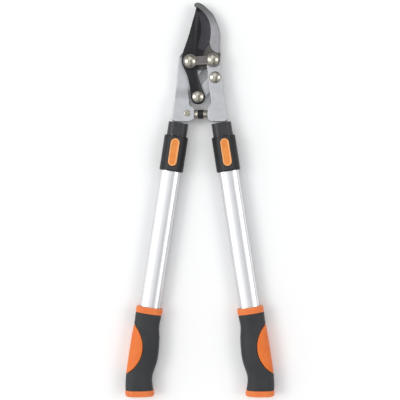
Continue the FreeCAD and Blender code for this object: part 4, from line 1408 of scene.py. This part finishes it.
def make_floor():
    floor_size = 60.0
    mesh = bpy.data.meshes.new("floor")
    edge = floor_size / 2
    corners = [(-edge, -edge, 0), (edge, -edge, 0), (edge, edge, 0), (-edge, edge, 0)]
    mesh.from_pydata(corners, [], [(0, 1, 2, 3)])
    floor = link(bpy.data.objects.new("floor", mesh))
    floor.location.z = -0.0005
    mesh.materials.append(floor_paper())


def make_surroundings():
    """Light by direction: a panel on each side, dark far ends and a bright horizon."""
    world = bpy.data.worlds.new("studio")
    world.use_nodes = True
    tree = Tree(world.node_tree.nodes, world.node_tree.links)
    direction = tree.node("ShaderNodeTexCoord")
    x, y, z = tree.parts(direction)
    left_panel = 1 - x.step(-0.04, 0.10)
    right_panel = x.step(0.22, 0.40) * (1 - x.step(0.80, 0.95))
    ends = abs(y).step(0.25, 0.85)
    horizon = 1 - z.step(0.10, 0.22)
    overhead = (0.42 + left_panel * 0.66 + right_panel * 0.36) * (1 - ends * 0.62)
    light = overhead * (1 - horizon) + horizon * 0.95
    background = world.node_tree.nodes["Background"]
    world.node_tree.links.new(light.socket, background.inputs["Strength"])
    background.inputs["Color"].default_value = (0.98, 0.99, 1.0, 1)
    bpy.context.scene.world = world


def make_lamps():
    """Three wide, soft lamps: each has a direction, a strength and a spread in degrees."""
    for name, place, strength, spread in (
        ("left light", (-1.1, 0.1, 1.2), 0.85, 26),
        ("right light", (1.1, 0.1, 1.2), 0.5, 26),
        ("far light", (0.0, 1.2, 1.6), 0.25, 40),
    ):
        lamp = bpy.data.lights.new(name, "SUN")
        lamp.energy = strength
        lamp.angle = math.radians(spread)
        obj = link(bpy.data.objects.new(name, lamp))
        obj.location = place
        obj.rotation_euler = (-Vector(place)).to_track_quat("-Z", "Y").to_euler()


def make_camera():
    """A long lens that looks straight down on the lying tool."""
    view_width = 0.70
    view_centre = (0.0002, -0.001)
    camera = bpy.data.cameras.new("camera")
    camera.lens = 100
    camera.sensor_width = 36
    distance = view_width * camera.lens / camera.sensor_width
    middle_height = (cad_box[0].z + cad_box[1].z) / 2
    obj = link(bpy.data.objects.new("camera", camera))
    obj.location = (*view_centre, middle_height + distance)
    bpy.context.scene.camera = obj
    bpy.context.scene.view_settings.view_transform = "Standard"


def main():
    tilt = math.atan2(abs(JOINTS["left_extend"]["axis"][0]), -JOINTS["left_extend"]["axis"][1])
    materials = {
        "cast": cast_alloy(),
        "coating": blade_coating(),
        "bevel": blade_bevel(),
        "hook": hook_steel(),
        "strap": plate_steel("phosphated strap", (0.13, 0.12, 0.118), (0.21, 0.195, 0.19)),
        "plate": plate_steel("zinc plated steel", (0.30, 0.30, 0.29), (0.42, 0.42, 0.40), 0.35),
        "nickel": bright_nickel(),
        "bronze": bush_bronze(),
        "left_tube": satin_tube(tilt),
        "right_tube": satin_tube(-tilt),
        "nylon": black_nylon(),
        "lever": orange_plastic(),
        "rubber": stop_rubber(),
    }
    for key, kind in RUBBERS.items():
        materials[key] = grip_rubber(*kind)
    coat_nodes(materials)
    make_arms(materials)
    make_plates(materials)
    make_bolts(materials["nickel"])
    make_bumper(materials)
    make_boss_screw(materials["nickel"])
    for name in ("left", "right"):
        handle = Handle(name)
        make_outer_tube(handle, materials[name + "_tube"])
        make_grip(handle, materials)
        make_lever(handle, materials)
    make_floor()
    make_surroundings()
    make_lamps()
    make_camera()


main()
